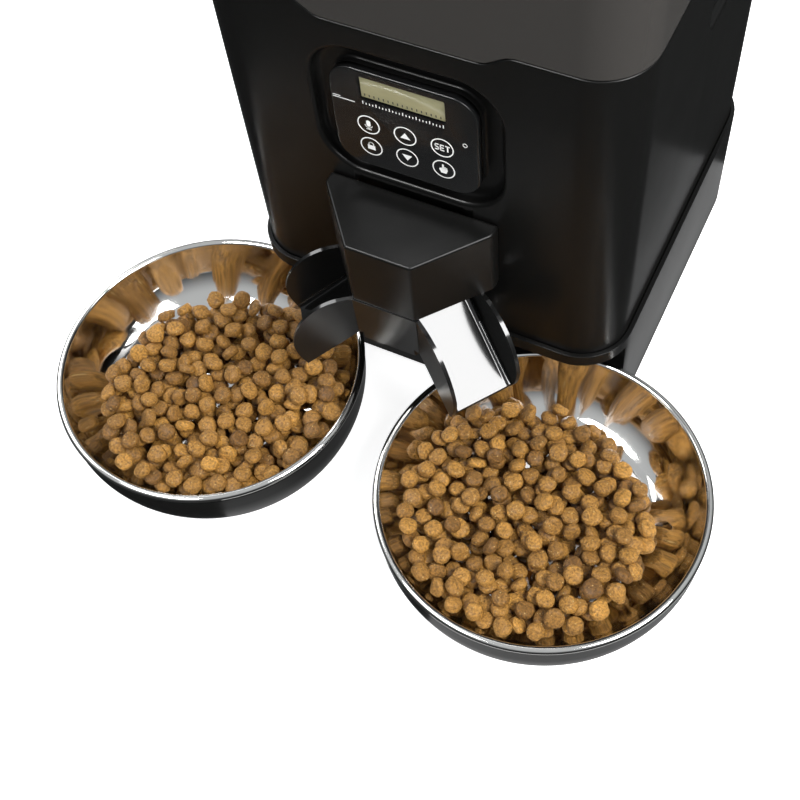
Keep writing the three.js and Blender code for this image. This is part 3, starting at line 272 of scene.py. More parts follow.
# %% Moulded grain
def moulded_grain_group():
    """Fine spark-eroded texture of moulded plastic: a height and a small change of roughness."""
    group, source, sink = new_group(
        "moulded_grain", [("Scale", 2500), ("Roughness", 0.35), ("Spread", 0.05)],
        [("Height", "NodeSocketFloat"), ("Roughness", "NodeSocketFloat")])
    nodes, links = group.nodes, group.links
    place = nodes.new("ShaderNodeTexCoord")
    noise = nodes.new("ShaderNodeTexNoise")
    noise.inputs["Detail"].default_value = 2
    broad = nodes.new("ShaderNodeTexNoise")
    broad.inputs["Scale"].default_value = 30
    centred = nodes.new("ShaderNodeMath")
    centred.operation = "SUBTRACT"
    centred.inputs[1].default_value = 0.5
    spread = nodes.new("ShaderNodeMath")
    spread.operation = "MULTIPLY_ADD"
    links.new(place.outputs["Object"], noise.inputs["Vector"])
    links.new(place.outputs["Object"], broad.inputs["Vector"])
    links.new(source.outputs["Scale"], noise.inputs["Scale"])
    links.new(broad.outputs["Fac"], centred.inputs[0])
    links.new(centred.outputs[0], spread.inputs[0])
    links.new(source.outputs["Spread"], spread.inputs[1])
    links.new(source.outputs["Roughness"], spread.inputs[2])
    links.new(noise.outputs["Fac"], sink.inputs["Height"])
    links.new(spread.outputs[0], sink.inputs["Roughness"])
    return group


GRAIN = moulded_grain_group()
print("grain nodes", len(GRAIN.nodes))


# %% Lint specks
def lint_specks_group():
    """Sparse pale dust specks: a mask that is one on a speck."""
    group, source, sink = new_group(
        "lint_specks", [("Scale", 260), ("Size", 0.035)], [("Mask", "NodeSocketFloat")])
    nodes, links = group.nodes, group.links
    place = nodes.new("ShaderNodeTexCoord")
    cells = nodes.new("ShaderNodeTexVoronoi")
    chance = nodes.new("ShaderNodeMath")
    chance.operation = "GREATER_THAN"
    chance.inputs[1].default_value = 0.94
    near = nodes.new("ShaderNodeMath")
    near.operation = "LESS_THAN"
    both = nodes.new("ShaderNodeMath")
    both.operation = "MULTIPLY"
    links.new(place.outputs["Object"], cells.inputs["Vector"])
    links.new(source.outputs["Scale"], cells.inputs["Scale"])
    links.new(cells.outputs["Distance"], near.inputs[0])
    links.new(source.outputs["Size"], near.inputs[1])
    links.new(cells.outputs["Color"], chance.inputs[0])
    links.new(near.outputs[0], both.inputs[0])
    links.new(chance.outputs[0], both.inputs[1])
    links.new(both.outputs[0], sink.inputs["Mask"])
    return group


SPECKS = lint_specks_group()
print("speck nodes", len(SPECKS.nodes))


# %% Soft smudges
def soft_smudges_group():
    """Broad, faint wiped patches for glossy surfaces: a roughness."""
    group, source, sink = new_group(
        "soft_smudges", [("Scale", 40), ("Low", 0.05), ("High", 0.14)], [("Roughness", "NodeSocketFloat")])
    nodes, links = group.nodes, group.links
    place = nodes.new("ShaderNodeTexCoord")
    noise = nodes.new("ShaderNodeTexNoise")
    noise.inputs["Detail"].default_value = 5
    noise.inputs["Distortion"].default_value = 1.2
    span = nodes.new("ShaderNodeMapRange")
    span.inputs["From Min"].default_value = 0.42
    span.inputs["From Max"].default_value = 0.7
    links.new(place.outputs["Object"], noise.inputs["Vector"])
    links.new(source.outputs["Scale"], noise.inputs["Scale"])
    links.new(noise.outputs["Fac"], span.inputs["Value"])
    links.new(source.outputs["Low"], span.inputs["To Min"])
    links.new(source.outputs["High"], span.inputs["To Max"])
    links.new(span.outputs["Result"], sink.inputs["Roughness"])
    return group


SMUDGES = soft_smudges_group()
print("smudge nodes", len(SMUDGES.nodes))

# %% [markdown]
# ## Plain finishes
# Most pieces are moulded plastic: satin black outside, white and grey inside. A flat colour would
# look like paint, so a fine grain bends the light and a slow change of roughness breaks up each
# reflection. The outside also has a few specks of dust. A bitmap could do this, but noise in
# object coordinates needs no unwrapping and stays sharp close up.

# %% Making a material
def new_material(name, color, roughness, metallic=0.0):
    material = bpy.data.materials.new(name)
    material.use_nodes = True
    shader = material.node_tree.nodes["Principled BSDF"]
    shader.inputs["Base Color"].default_value = (*color, 1)
    shader.inputs["Roughness"].default_value = roughness
    shader.inputs["Metallic"].default_value = metallic
    return material, material.node_tree.nodes, material.node_tree.links, shader


def use_group(nodes, group, **values):
    node = nodes.new("ShaderNodeGroup")
    node.node_tree = group
    for label, value in values.items():
        node.inputs[label].default_value = value
    return node


# %% Moulded plastics
def grained_plastic(name, color, roughness, grain=0.00002, scale=2500, specks=0.0, shine=0.5):
    """Moulded plastic with a fine grain and, where asked for, a little dust."""
    material, nodes, links, shader = new_material(name, color, roughness)
    shader.inputs["Specular IOR Level"].default_value = shine
    texture = use_group(nodes, GRAIN, Scale=scale, Roughness=roughness, Spread=0.06)
    bump = nodes.new("ShaderNodeBump")
    bump.inputs["Distance"].default_value = grain
    bump.inputs["Strength"].default_value = 0.5
    links.new(texture.outputs["Height"], bump.inputs["Height"])
    links.new(texture.outputs["Roughness"], shader.inputs["Roughness"])
    links.new(bump.outputs["Normal"], shader.inputs["Normal"])
    if specks:
        dust = use_group(nodes, SPECKS)
        mix = nodes.new("ShaderNodeMix")
        mix.data_type = "RGBA"
        mix.inputs["A"].default_value = (*color, 1)
        mix.inputs["B"].default_value = (specks, specks, specks * 0.95, 1)
        links.new(dust.outputs["Mask"], mix.inputs["Factor"])
        links.new(mix.outputs["Result"], shader.inputs["Base Color"])
    return material


satin_black = grained_plastic(
    "satin_abs", (0.0050, 0.0050, 0.0048), 0.30, grain=0.00001, specks=0.12, shine=0.2)
white_abs = grained_plastic("white_abs", (0.78, 0.77, 0.74), 0.42)
grey_rotor = grained_plastic("grey_rotor", (0.45, 0.47, 0.46), 0.45)
rubber = grained_plastic("rubber", (0.018, 0.018, 0.018), 0.8, grain=0.00005, scale=1200)
silicone = grained_plastic("silicone", (0.26, 0.27, 0.28), 0.6, grain=0.00003)
print("plastics", len(bpy.data.materials))


# %% Bare metals
def bare_metal(name, color, roughness):
    """Metal with fine marks from rolling or turning."""
    material, nodes, links, shader = new_material(name, color, roughness, 1.0)
    place = nodes.new("ShaderNodeTexCoord")
    noise = nodes.new("ShaderNodeTexNoise")
    noise.inputs["Scale"].default_value = 300
    noise.inputs["Detail"].default_value = 4
    bump = nodes.new("ShaderNodeBump")
    bump.inputs["Distance"].default_value = 0.000002
    links.new(place.outputs["Object"], noise.inputs["Vector"])
    links.new(noise.outputs["Fac"], bump.inputs["Height"])
    links.new(bump.outputs["Normal"], shader.inputs["Normal"])
    return material


zinc_steel = bare_metal("zinc_steel", (0.55, 0.56, 0.57), 0.32)
brass = bare_metal("brass", (0.68, 0.48, 0.2), 0.3)
print("plain finishes", len(bpy.data.materials))

# %% [markdown]
# ## Splitter plastic
# The tray is the same black plastic, but its channels are polished so that food slides, and they
# mirror the lamp as a white sheet. Two materials on one mesh would need a split along the fillet.
# One material that reads how far the surface faces up blends the two by itself.

# %% Splitter plastic
def chute_material():
    """Plain black on the upright faces, polished where the food slides down."""
    material, nodes, links, shader = new_material("chute_abs", (0.0062, 0.0062, 0.0060), 0.26)
    shape = nodes.new("ShaderNodeNewGeometry")
    split = nodes.new("ShaderNodeSeparateXYZ")
    links.new(shape.outputs["True Normal"], split.inputs["Vector"])
    level = nodes.new("ShaderNodeMapRange")
    level.inputs["From Min"].default_value = 0.35
    level.inputs["From Max"].default_value = 0.7
    level.inputs["To Min"].default_value = 0.3
    level.inputs["To Max"].default_value = 0.12
    links.new(split.outputs["Z"], level.inputs["Value"])
    links.new(level.outputs["Result"], shader.inputs["Roughness"])
    shader.inputs["Specular IOR Level"].default_value = 0.55
    return material


chute_black = chute_material()
print("made", chute_black.name)

# %% [markdown]
# ## Polished steel
# The bowls are pressed and polished stainless steel. A perfect mirror looks like computer metal,
# so wiped patches change the roughness a little and a very slow bump gives the soft waves that
# pressing leaves. An anisotropic shader could draw spun rings, but these bowls show none.

# %% Polished steel
def polished_steel_material():
    material, nodes, links, shader = new_material("polished_steel", (0.74, 0.73, 0.71), 0.06, 1.0)
    smudges = use_group(nodes, SMUDGES, Scale=45, Low=0.045, High=0.13)
    links.new(smudges.outputs["Roughness"], shader.inputs["Roughness"])
    place = nodes.new("ShaderNodeTexCoord")
    noise = nodes.new("ShaderNodeTexNoise")
    noise.inputs["Scale"].default_value = 28
    noise.inputs["Detail"].default_value = 2
    bump = nodes.new("ShaderNodeBump")
    bump.inputs["Distance"].default_value = 0.0004
    bump.inputs["Strength"].default_value = 0.08
    links.new(place.outputs["Object"], noise.inputs["Vector"])
    links.new(noise.outputs["Fac"], bump.inputs["Height"])
    links.new(bump.outputs["Normal"], shader.inputs["Normal"])
    return material


polished_steel = polished_steel_material()
print("made", polished_steel.name)


# %% [markdown]
# ## Tank, panel and display
# The hopper is smoked clear plastic, so thick in colour that only a little light comes through.
# Transmission Weight does that in one number. The panel is black acrylic with fingerprints. The
# display is a reflective liquid crystal: an olive sheet under a clear face, so it is a plain
# colour under a coat, which costs less than a real sheet of glass.

# %% Tank, panel and display
def smoked_tank_material():
    material, nodes, links, shader = new_material("smoked_tank", (0.047, 0.044, 0.041), 0.2)
    shader.inputs["Specular IOR Level"].default_value = 0.22
    shader.inputs["Transmission Weight"].default_value = 0.22
    smudges = use_group(nodes, SMUDGES, Scale=18, Low=0.12, High=0.24)
    links.new(smudges.outputs["Roughness"], shader.inputs["Roughness"])
    return material


def gloss_panel_material():
    material, nodes, links, shader = new_material("gloss_panel", (0.0065, 0.0068, 0.0070), 0.2)
    smudges = use_group(nodes, SMUDGES, Scale=60, Low=0.17, High=0.26)
    links.new(smudges.outputs["Roughness"], shader.inputs["Roughness"])
    shader.inputs["Specular IOR Level"].default_value = 0.35
    return material


def lcd_material():
    material, nodes, links, shader = new_material("lcd", (0.26, 0.245, 0.13), 0.35)
    place = nodes.new("ShaderNodeTexCoord")
    noise = nodes.new("ShaderNodeTexNoise")
    noise.inputs["Scale"].default_value = 60
    ramp = nodes.new("ShaderNodeMix")
    ramp.data_type = "RGBA"
    ramp.inputs["A"].default_value = (0.235, 0.225, 0.115, 1)
    ramp.inputs["B"].default_value = (0.33, 0.31, 0.175, 1)
    links.new(place.outputs["Object"], noise.inputs["Vector"])
    links.new(noise.outputs["Fac"], ramp.inputs["Factor"])
    links.new(ramp.outputs["Result"], shader.inputs["Base Color"])
    shader.inputs["Coat Weight"].default_value = 1.0
    shader.inputs["Coat Roughness"].default_value = 0.05
    return material


smoked_tank = smoked_tank_material()
gloss_panel = gloss_panel_material()
lcd = lcd_material()
print("made", smoked_tank.name, gloss_panel.name, lcd.name)


# %% [markdown]
# ## Board, cells and ink
# These are small or hidden, so each is one texture over one colour: bricks for the tracks of the
# circuit board, smudges on the wrap of the cells and grain in the ink. Modelled tracks would cost
# many faces that nobody sees.

# %% Board, cells and ink
def circuit_board_material():
    material, nodes, links, shader = new_material("circuit_board", (0.015, 0.06, 0.025), 0.4)
    place = nodes.new("ShaderNodeTexCoord")
    tracks = nodes.new("ShaderNodeTexBrick")
    tracks.inputs["Scale"].default_value = 220
    tracks.inputs["Color1"].default_value = (0.012, 0.055, 0.022, 1)
    tracks.inputs["Color2"].default_value = (0.018, 0.075, 0.03, 1)
    tracks.inputs["Mortar"].default_value = (0.03, 0.12, 0.05, 1)
    links.new(place.outputs["Object"], tracks.inputs["Vector"])
    links.new(tracks.outputs["Color"], shader.inputs["Base Color"])
    return material


def cell_wrap_material():
    material, nodes, links, shader = new_material("cell_wrap", (0.045, 0.05, 0.06), 0.3, 0.2)
    smudges = use_group(nodes, SMUDGES, Scale=30, Low=0.22, High=0.4)
    links.new(smudges.outputs["Roughness"], shader.inputs["Roughness"])
    return material


def print_material(name, color):
    material, nodes, links, shader = new_material(name, color, 0.5)
    texture = use_group(nodes, GRAIN, Scale=1800, Roughness=0.5, Spread=0.1)
    links.new(texture.outputs["Roughness"], shader.inputs["Roughness"])
    return material


circuit_board = circuit_board_material()
cell_wrap = cell_wrap_material()
white_print = print_material("white_print", (0.82, 0.82, 0.80))
lcd_segment = print_material("lcd_segment", (0.02, 0.02, 0.015))
print("materials", len(bpy.data.materials))


# %% [markdown]
# ## Baked crumb
# Dry food is a dull baked crumb with a trace of oil. Every piece is a little lighter or darker,
# which comes from a tint stored on its points. A noise raises the bump and, with the same values,
# darkens its hollows and lightens its crumbs: partly the crumb's own uneven baking, partly painted
# shade in the hollows and painted light on the crumbs. Pale flecks of grain are the middles of
# Voronoi cells. A displaced mesh would be truer, but at this size bump looks the same.

# %% Baked crumb
def kibble_material():
    """Baked, slightly oily crumb: each piece has its own tint, with painted shade in the hollows, painted
    light on the crumbs, and pale flecks.
    """
    material, nodes, links, shader = new_material("kibble", (0.3, 0.16, 0.06), 0.6)
    place = nodes.new("ShaderNodeTexCoord")
    tint = nodes.new("ShaderNodeAttribute")
    tint.attribute_name = "tint"
    base = nodes.new("ShaderNodeValToRGB")
    base.color_ramp.elements[0].color = (0.185, 0.084, 0.0155, 1)
    base.color_ramp.elements[1].color = (0.54, 0.27, 0.052, 1)
    crumb = nodes.new("ShaderNodeTexNoise")
    crumb.inputs["Scale"].default_value = 900
    crumb.inputs["Detail"].default_value = 6
    crumb.inputs["Roughness"].default_value = 0.65
    # The bump's own noise scales the colour: darker in its hollows, lighter on its crumbs. This is partly
    # the crumb's tone, partly painted shade and painted light.
    crumb_tone_and_shade = nodes.new("ShaderNodeMapRange")
    crumb_tone_and_shade.inputs["From Min"].default_value = 0.32
    crumb_tone_and_shade.inputs["From Max"].default_value = 0.68
    crumb_tone_and_shade.inputs["To Min"].default_value = 0.36
    crumb_tone_and_shade.inputs["To Max"].default_value = 1.5
    mixed = nodes.new("ShaderNodeMix")
    mixed.data_type = "RGBA"
    mixed.blend_type = "MULTIPLY"
    mixed.inputs["Factor"].default_value = 1
    fleck = nodes.new("ShaderNodeTexVoronoi")
    fleck.inputs["Scale"].default_value = 420
    near = nodes.new("ShaderNodeMath")
    near.operation = "LESS_THAN"
    near.inputs[1].default_value = 0.13
    pale = nodes.new("ShaderNodeMix")
    pale.data_type = "RGBA"
    pale.inputs["B"].default_value = (0.5, 0.33, 0.12, 1)
    bump = nodes.new("ShaderNodeBump")
    bump.inputs["Distance"].default_value = 0.0016
    bump.inputs["Strength"].default_value = 1.0
    links.new(place.outputs["Object"], crumb.inputs["Vector"])
    links.new(place.outputs["Object"], fleck.inputs["Vector"])
    links.new(tint.outputs["Fac"], base.inputs["Fac"])
    links.new(crumb.outputs["Fac"], crumb_tone_and_shade.inputs["Value"])
    links.new(base.outputs["Color"], mixed.inputs["A"])
    links.new(crumb_tone_and_shade.outputs["Result"], mixed.inputs["B"])
    links.new(fleck.outputs["Distance"], near.inputs[0])
    links.new(near.outputs[0], pale.inputs["Factor"])
    links.new(mixed.outputs["Result"], pale.inputs["A"])
    links.new(pale.outputs["Result"], shader.inputs["Base Color"])
    links.new(crumb.outputs["Fac"], bump.inputs["Height"])
    links.new(bump.outputs["Normal"], shader.inputs["Normal"])
    shader.inputs["Specular IOR Level"].default_value = 0.3
    shader.inputs["Coat Weight"].default_value = 0.1
    shader.inputs["Coat Roughness"].default_value = 0.35
    return material


kibble = kibble_material()
print("materials", len(bpy.data.materials))

# %% [markdown]
# ## Housing
# A rounded-square tube whose top follows the S-shaped seam. The dish round the control panel is
# sunk into the front wall: its lip is rounded outwards and its foot inwards, so it catches light
# all the way round. The cutter is one stack of rings that runs in over the lip, down to the floor
# of the dish and up again round the pedestal, and a block behind the wall gives it material.

# %% Rings of the housing
HOUSING_SIDE = 185
HOUSING_CORNER = 22.5
WALL_FOOT = 62.3
WALL_FRONT = 2.5
DISH_FLOOR = 8.0
PANEL_Z = 181.5


def housing_ring(inset, z, follow_seam):
    side = HOUSING_SIDE - 2 * inset
    ring = rounded_ring(side, side, HOUSING_CORNER - inset, 16, 60)
    return [(x, y + MIDDLE_Y, seam(x) + z if follow_seam else z) for x, y in ring]


def dish_ring(grow, y):
    return on_front(rounded_ring(83 + 2 * grow, 68 + 2 * grow, 20 + grow, 16, 4), y, 0, PANEL_Z)


def pedestal_ring(grow, y):
    return on_front(rounded_ring(64 + 2 * grow, 53 + 2 * grow, 11 + grow, 16, 4), y, 0, PANEL_Z)


def make_shell():
    foot = ((2.0, WALL_FOOT), (0.6, WALL_FOOT), (0.15, 62.5), (0, 62.9))
    rim = ((0, -0.8), (0.2, -0.2), (0.8, 0), (1.9, 0), (2.6, -0.5))
    rings = [housing_ring(inset, z, False) for inset, z in foot]
    rings += [housing_ring(inset, z, True) for inset, z in rim]
    rings.append(housing_ring(2.6, 62.9, False))
    return solid("housing", *loft(rings, closed=True))


housing = make_shell()
print("shell faces", len(housing.data.polygons))


# %% Dish round the panel
def make_dish():
    """The cutter: in over the lip, along the floor and up round the pedestal."""
    turns = np.radians(range(0, 91, 15))
    lip = [(1.8 - 1.8 * math.cos(a), WALL_FRONT + 1.8 - 1.8 * math.sin(a)) for a in turns[::-1]]
    foot = [(-3.2 + 3.2 * math.cos(a), DISH_FLOOR - 3.2 + 3.2 * math.sin(a)) for a in turns]
    heel = [(1.0 - 1.6 * math.sin(a), DISH_FLOOR - 1.6 + 1.6 * math.cos(a)) for a in turns]
    rings = [dish_ring(1.8, -4)] + [dish_ring(g, y) for g, y in lip + foot]
    rings += [pedestal_ring(g, y) for g, y in heel + [(-0.6, 4.9), (-0.8, 4.7)]]
    return solid("dish", *loft(rings))


dish = make_dish()
print("dish faces", len(dish.data.polygons))

# %% [markdown]
# ## Grips, outlet and speaker slats
# Each side has a scooped grip with a window for the button in it, the front has the outlet that
# the meal falls through, and the bottom of the back has five slats for the speaker. All are cuts,
# as the cores of a real mould are, so one boolean takes them together from the finished shell.

# %% Cutting the housing
GRIP_Y = 108
GRIP_Z = 201.5
SLAT_PITCH = 6
SPEAKER_RADIUS = 18
SPEAKER_Z = 100


def grip_cutters(side):
    """Thickens the wall behind one grip and returns the scoop and its window."""
    edge = HOUSING_SIDE / 2 * side
    steps = [(2, -3), (1.4, 0), (0.4, 0.5), (0, 1.4), (0, 2.2), (-0.5, 3.5), (-2, 4)]
    boss = [on_side(rounded_ring(38, 37, 8), edge - depth * side, 107.7, GRIP_Z) for depth in (1, 6)]
    combine(housing, "UNION", solid("grip_back", *loft(boss)))
    scoop = [on_side(rounded_ring(34 + 2 * g, 33 + 2 * g, 6 + g), edge - depth * side, GRIP_Y, GRIP_Z)
             for g, depth in steps]
    window = [on_side(rounded_ring(23, 17, 4), edge - depth * side, GRIP_Y, GRIP_Z)
              for depth in (-1, 8)]
    return [solid("scoop", *loft(scoop)), solid("window", *loft(window))]


combine(housing, "UNION", brick("backing", -46, 46, 3.5, 10.2, 145.3, 217.7))
cutters = [dish, brick("outlet", -26.5, 26.5, 0, 6.2, 101.5, 138)]
cutters.append(brick("slot", -10.5, 10.5, 0, 6.2, 89.5, 95.5))
cutters += grip_cutters(-1) + grip_cutters(1)
for i in range(-2, 3):
    half = math.sqrt(SPEAKER_RADIUS ** 2 - (SLAT_PITCH * i) ** 2) - 3
    z = SPEAKER_Z + SLAT_PITCH * i
    cutters.append(brick("slat", -half, half, 183, 190, z - 1, z + 1))
combine(housing, "DIFFERENCE", *cutters)
soften(housing, 0, clean=False)
dress(housing, "housing", satin_black, "satin_abs", "main_housing")
print("housing faces", len(housing.data.polygons))

# %% [markdown]
# ## Control panel
# A gloss plate stands on the pedestal with the display let into it. It could be a plain block with
# a bevel, but its rings already follow the pedestal, so the gap round it is even. The window is a
# cut, so the display shows at its real depth.

# %% Control panel
PANEL_FACE = 1.0
SCREEN_Z = 199


def make_panel():
    edge = ((0, 4.4), (0, 1.6), (-0.12, 1.25), (-0.5, 1.03), (-0.9, PANEL_FACE))
    rings = [pedestal_ring(g, y) for g, y in edge]
    plate = solid("panel_plate", *loft(rings))
    window = [on_front(rounded_ring(37, 11.6, 0.8, 4), y, 0, SCREEN_Z) for y in (-1, 5)]
    combine(plate, "DIFFERENCE", solid("window", *loft(window)))
    soften(plate, 0, clean=False)
    return plate


panel = make_panel()
dress(panel, "housing", gloss_panel, "gloss_panel", "control_panel")
print("panel faces", len(panel.data.polygons))

# %% [markdown]
# ## Ink
# The six touch keys are printed on the plate, so each sign is a film a few hundredths of a
# millimetre thick. Signs could be painted by a texture, but thin strokes keep sharp edges at any
# zoom and need no image. Every stroke is a quad that reaches a little past its ends, so corners
# close by themselves.

# %% Strokes, rings and film
def stroke(points, width):
    """Outline polygons for a line of the given width through the points, one quad per stretch."""
    quads = []
    for (u0, v0), (u1, v1) in zip(points, points[1:]):
        length = math.hypot(u1 - u0, v1 - v0)
        du = (u1 - u0) / length
        dv = (v1 - v0) / length
        a0, b0 = u0 - du * width * 0.25, v0 - dv * width * 0.25
        a1, b1 = u1 + du * width * 0.25, v1 + dv * width * 0.25
        nu = -dv * width / 2
        nv = du * width / 2
        quads.append([(a0 - nu, b0 - nv), (a1 - nu, b1 - nv), (a1 + nu, b1 + nv), (a0 + nu, b0 + nv)])
    return quads


def circle(u, v, radius, steps):
    return arc(u, v, radius, 0, 360 * (steps - 1) / steps, steps - 1)


def ring_band(u, v, radius, width, steps=56):
    inner = circle(u, v, radius - width / 2, steps)
    outer = circle(u, v, radius + width / 2, steps)
    return [[inner[i], outer[i], outer[(i + 1) % steps], inner[(i + 1) % steps]]
            for i in range(steps)]


def film(name, polygons, face_y, thick=0.05):
    """Thin raised print in front of a face: every polygon becomes a flat prism."""
    points = []
    faces = []
    for polygon in polygons:
        start = len(points)
        count = len(polygon)
        points += [(u, face_y - thick, v) for u, v in polygon]
        points += [(u, face_y - 0.005, v) for u, v in polygon]
        faces.append(tuple(range(start, start + count)))
        faces.append(tuple(reversed(range(start + count, start + 2 * count))))
        for i in range(count):
            j = (i + 1) % count
            faces.append((start + i, start + count + i, start + count + j, start + j))
    return solid(name, points, faces, smooth=False)


print("a ring of ink has", len(ring_band(0, 0, 1, 0.1)), "quads")


# %% Signs of the keys
def letters_set(u, v, size):
    """The generic word on a SET key, as strokes."""
    w = size * 0.5
    s = [(w, size), (w * 0.2, size), (0, size * 0.8), (0.1 * w, size * 0.58), (w * 0.85, size * 0.42),
         (w, size * 0.2), (w * 0.8, 0), (0, 0)]
    e = [(w, size), (0, size), (0, 0), (w, 0)]
    strokes = []
    for index, lines in enumerate(([s], [e, [(0, size / 2), (w * 0.85, size / 2)]],
                                   [[(-0.1 * w, size), (1.1 * w, size)], [(w / 2, size), (w / 2, 0)]])):
        shift = u + (index - 1) * w * 1.62 - w / 2
        for line in lines:
            strokes += stroke([(a + shift, b + v - size / 2) for a, b in line], size * 0.2)
    return strokes


def sign_microphone(u, v):
    body = arc(u, v + 1.4, 0.95, 0, 180, 10) + arc(u, v - 0.1, 0.95, 180, 360, 10)
    cradle = arc(u, v - 0.1, 1.65, 190, 350, 10)
    return [body] + stroke(cradle, 0.35) + stroke([(u, v - 1.75), (u, v - 2.5)], 0.4) + stroke(
        [(u - 1.1, v - 2.55), (u + 1.1, v - 2.55)], 0.4)


def sign_triangle(u, v, way):
    return [[(u - 2.2, v - 1.5 * way), (u + 2.2, v - 1.5 * way), (u, v + 1.7 * way)][::way]]


def sign_lock(u, v):
    box = [(u - 1.7, v - 1.9), (u + 1.7, v - 1.9), (u + 1.7, v + 0.5), (u - 1.7, v + 0.5)]
    bow = [(u - 1.05, v + 0.4)] + arc(u, v + 1.1, 1.05, 180, 0, 10) + [(u + 1.05, v + 0.4)]
    return [box] + stroke(bow, 0.5)


def sign_hand(u, v):
    palm = [(u - 1.3, v - 2.3), (u + 1.0, v - 2.3), (u + 1.6, v - 0.4), (u + 1.5, v + 0.7),
            (u - 0.9, v + 0.7), (u - 2.0, v + 0.1), (u - 2.1, v - 0.4)]
    fingers = stroke([(u - 0.35, v + 0.5), (u - 0.35, v + 2.5)], 0.8)
    fingers += stroke([(u + 0.45, v + 0.5), (u + 0.45, v + 1.25)], 0.65)
    fingers += stroke([(u + 1.15, v + 0.4), (u + 1.15, v + 1.0)], 0.6)
    return [palm] + fingers


print("signs ready, the hand has", len(sign_hand(0, 0)), "polygons")

# %% Print on the panel
KEY_PITCH = 16.25
KEY_HIGH = 179.2
KEY_LOW = 166.8
KEY_RADIUS = 4.75


def make_print():
    shapes = []
    for z in (KEY_HIGH, KEY_LOW):
        for column in (-1, 0, 1):
            shapes += ring_band(column * KEY_PITCH, z, KEY_RADIUS, 0.5)
    shapes += sign_microphone(-KEY_PITCH, KEY_HIGH + 0.1) + sign_triangle(0, KEY_HIGH, 1)
    shapes += letters_set(KEY_PITCH, KEY_HIGH, 2.9)
    shapes += sign_lock(-KEY_PITCH, KEY_LOW + 0.1) + sign_triangle(0, KEY_LOW, -1)
    shapes += sign_hand(KEY_PITCH + 0.1, KEY_LOW)
    shapes += stroke([(-30.8, 190.2), (-21.2, 190.2)], 0.35) + stroke([(-30.8, 191.2), (-27.5, 191.2)], 0.3)
    for i in range(25):
        u = -17.4 + i * 1.45
        shapes += stroke([(u, 190.7), (u, 191.5 if i % 4 else 192.1)], 0.38)
    shapes += ring_band(26.3, 184.6, 0.9, 0.25, 20)
    return film("panel_print", shapes, PANEL_FACE)


panel_print = make_print()
dress(panel_print, "housing", white_print, None)


def make_segments():
    shapes = []
    for i in range(17):
        u = -16.6 + i * 2.05
        shapes += stroke([(u, 194.5), (u, 195.5)], 0.5)
    return film("lcd_marks", shapes, 1.8)


lcd_marks = make_segments()
dress(lcd_marks, "housing", lcd_segment, None)
print("print faces", len(panel_print.data.polygons))

# %% [markdown]
# ## Splitter hood
# The hood is a hollow wedge with a flat front, open underneath, that hides the outlet. It could be
# a cube with moved corners, but a plan drawn once gives both the outside and, set in by the wall,
# the inside. Its top edge is rounded before it is cut open, so the cut edges stay crisp.

# %% Splitter hood
FRONT_HALF = 15.2
FRONT_Y = -32.6
HOOD_HALF = 39.2
SHOULDER_Y = -3.6
HOOD_FOOT = 104.5
HOOD_TOP = 141
HOOD_WALL = 2.2
TRAY_BACK = 2.2


def hood_ring(inset, back, z):
    """Plan of the hood: flat front, slanted faces, rounded shoulders and short straight sides."""
    run, rise = 24, 29
    length = math.hypot(run, rise)
    front_half = FRONT_HALF - inset * (length - run) / rise
    half = HOOD_HALF - inset
    shoulder = SHOULDER_Y + inset * (length - rise) / run
    turn = 1.6
    side = [(front_half, inset + FRONT_Y)]
    start = (half - turn * run / length, shoulder - turn * rise / length)
    end = (half, shoulder + turn)
    for i in range(7):
        t = i / 6
        side.append(tuple((1 - t) ** 2 * p + 2 * t * (1 - t) * q + t * t * r
                          for p, q, r in zip(start, (half, shoulder), end)))
    side.append((half, back))
    return [(x, y, z) for x, y in side] + [(-x, y, z) for x, y in reversed(side)]


def make_hood():
    outer = solid("hood", *loft([hood_ring(0, TRAY_BACK, 100), hood_ring(0, TRAY_BACK, HOOD_TOP)]))
    soften(outer, 1.2, 5, limit=30)
    room = [hood_ring(HOOD_WALL, 5, 98), hood_ring(HOOD_WALL, 5, HOOD_TOP - HOOD_WALL)]
    combine(outer, "DIFFERENCE", solid("hood_inside", *loft(room)))
    combine(outer, "INTERSECT", brick("hood_height", -60, 60, -60, 20, HOOD_FOOT, 150))
    soften(outer, 0.15, 1, limit=60)
    return outer


hood = make_hood()
dress(hood, "housing", satin_black, "satin_abs", "splitter_hood")
print("hood faces", len(hood.data.polygons))

# %% [markdown]
# ## Splitter tray
# Below the hood a tray splits the meal into two channels that slide down to the bowls between
# leaf-shaped cheeks. A channel runs square to the slanted face of the body, so its shapes are drawn
# in that direction, as a side outline stretched along the face. One half is built and mirrored,
# as both halves are the same.

# %% Outlines of the tray
FACE = (23 / math.hypot(23, 32.6), 32.6 / math.hypot(23, 32.6))
TRAY_TOP = 104.2
CHUTE_WIDTH = 34
CHUTE_HEAD = 80.5
CHUTE_SLOPE = 0.7


def floor_along(s):
    """Height of the channel's floor at a distance from the slanted face."""
    return CHUTE_HEAD - CHUTE_SLOPE * s


def from_face(s, t, z):
    """A point given along the flow, along the slanted face and up."""
    return (FRONT_HALF + s * FACE[1] + t * FACE[0], FRONT_Y - s * FACE[0] + t * FACE[1], z)


def face_prism(name, outline, t0, t1):
    """A side outline of (s, z), stretched along the slanted face."""
    rings = [[from_face(s, t, z) for s, z in outline] for t in (t0, t1)]
    return solid(name, *loft(rings))


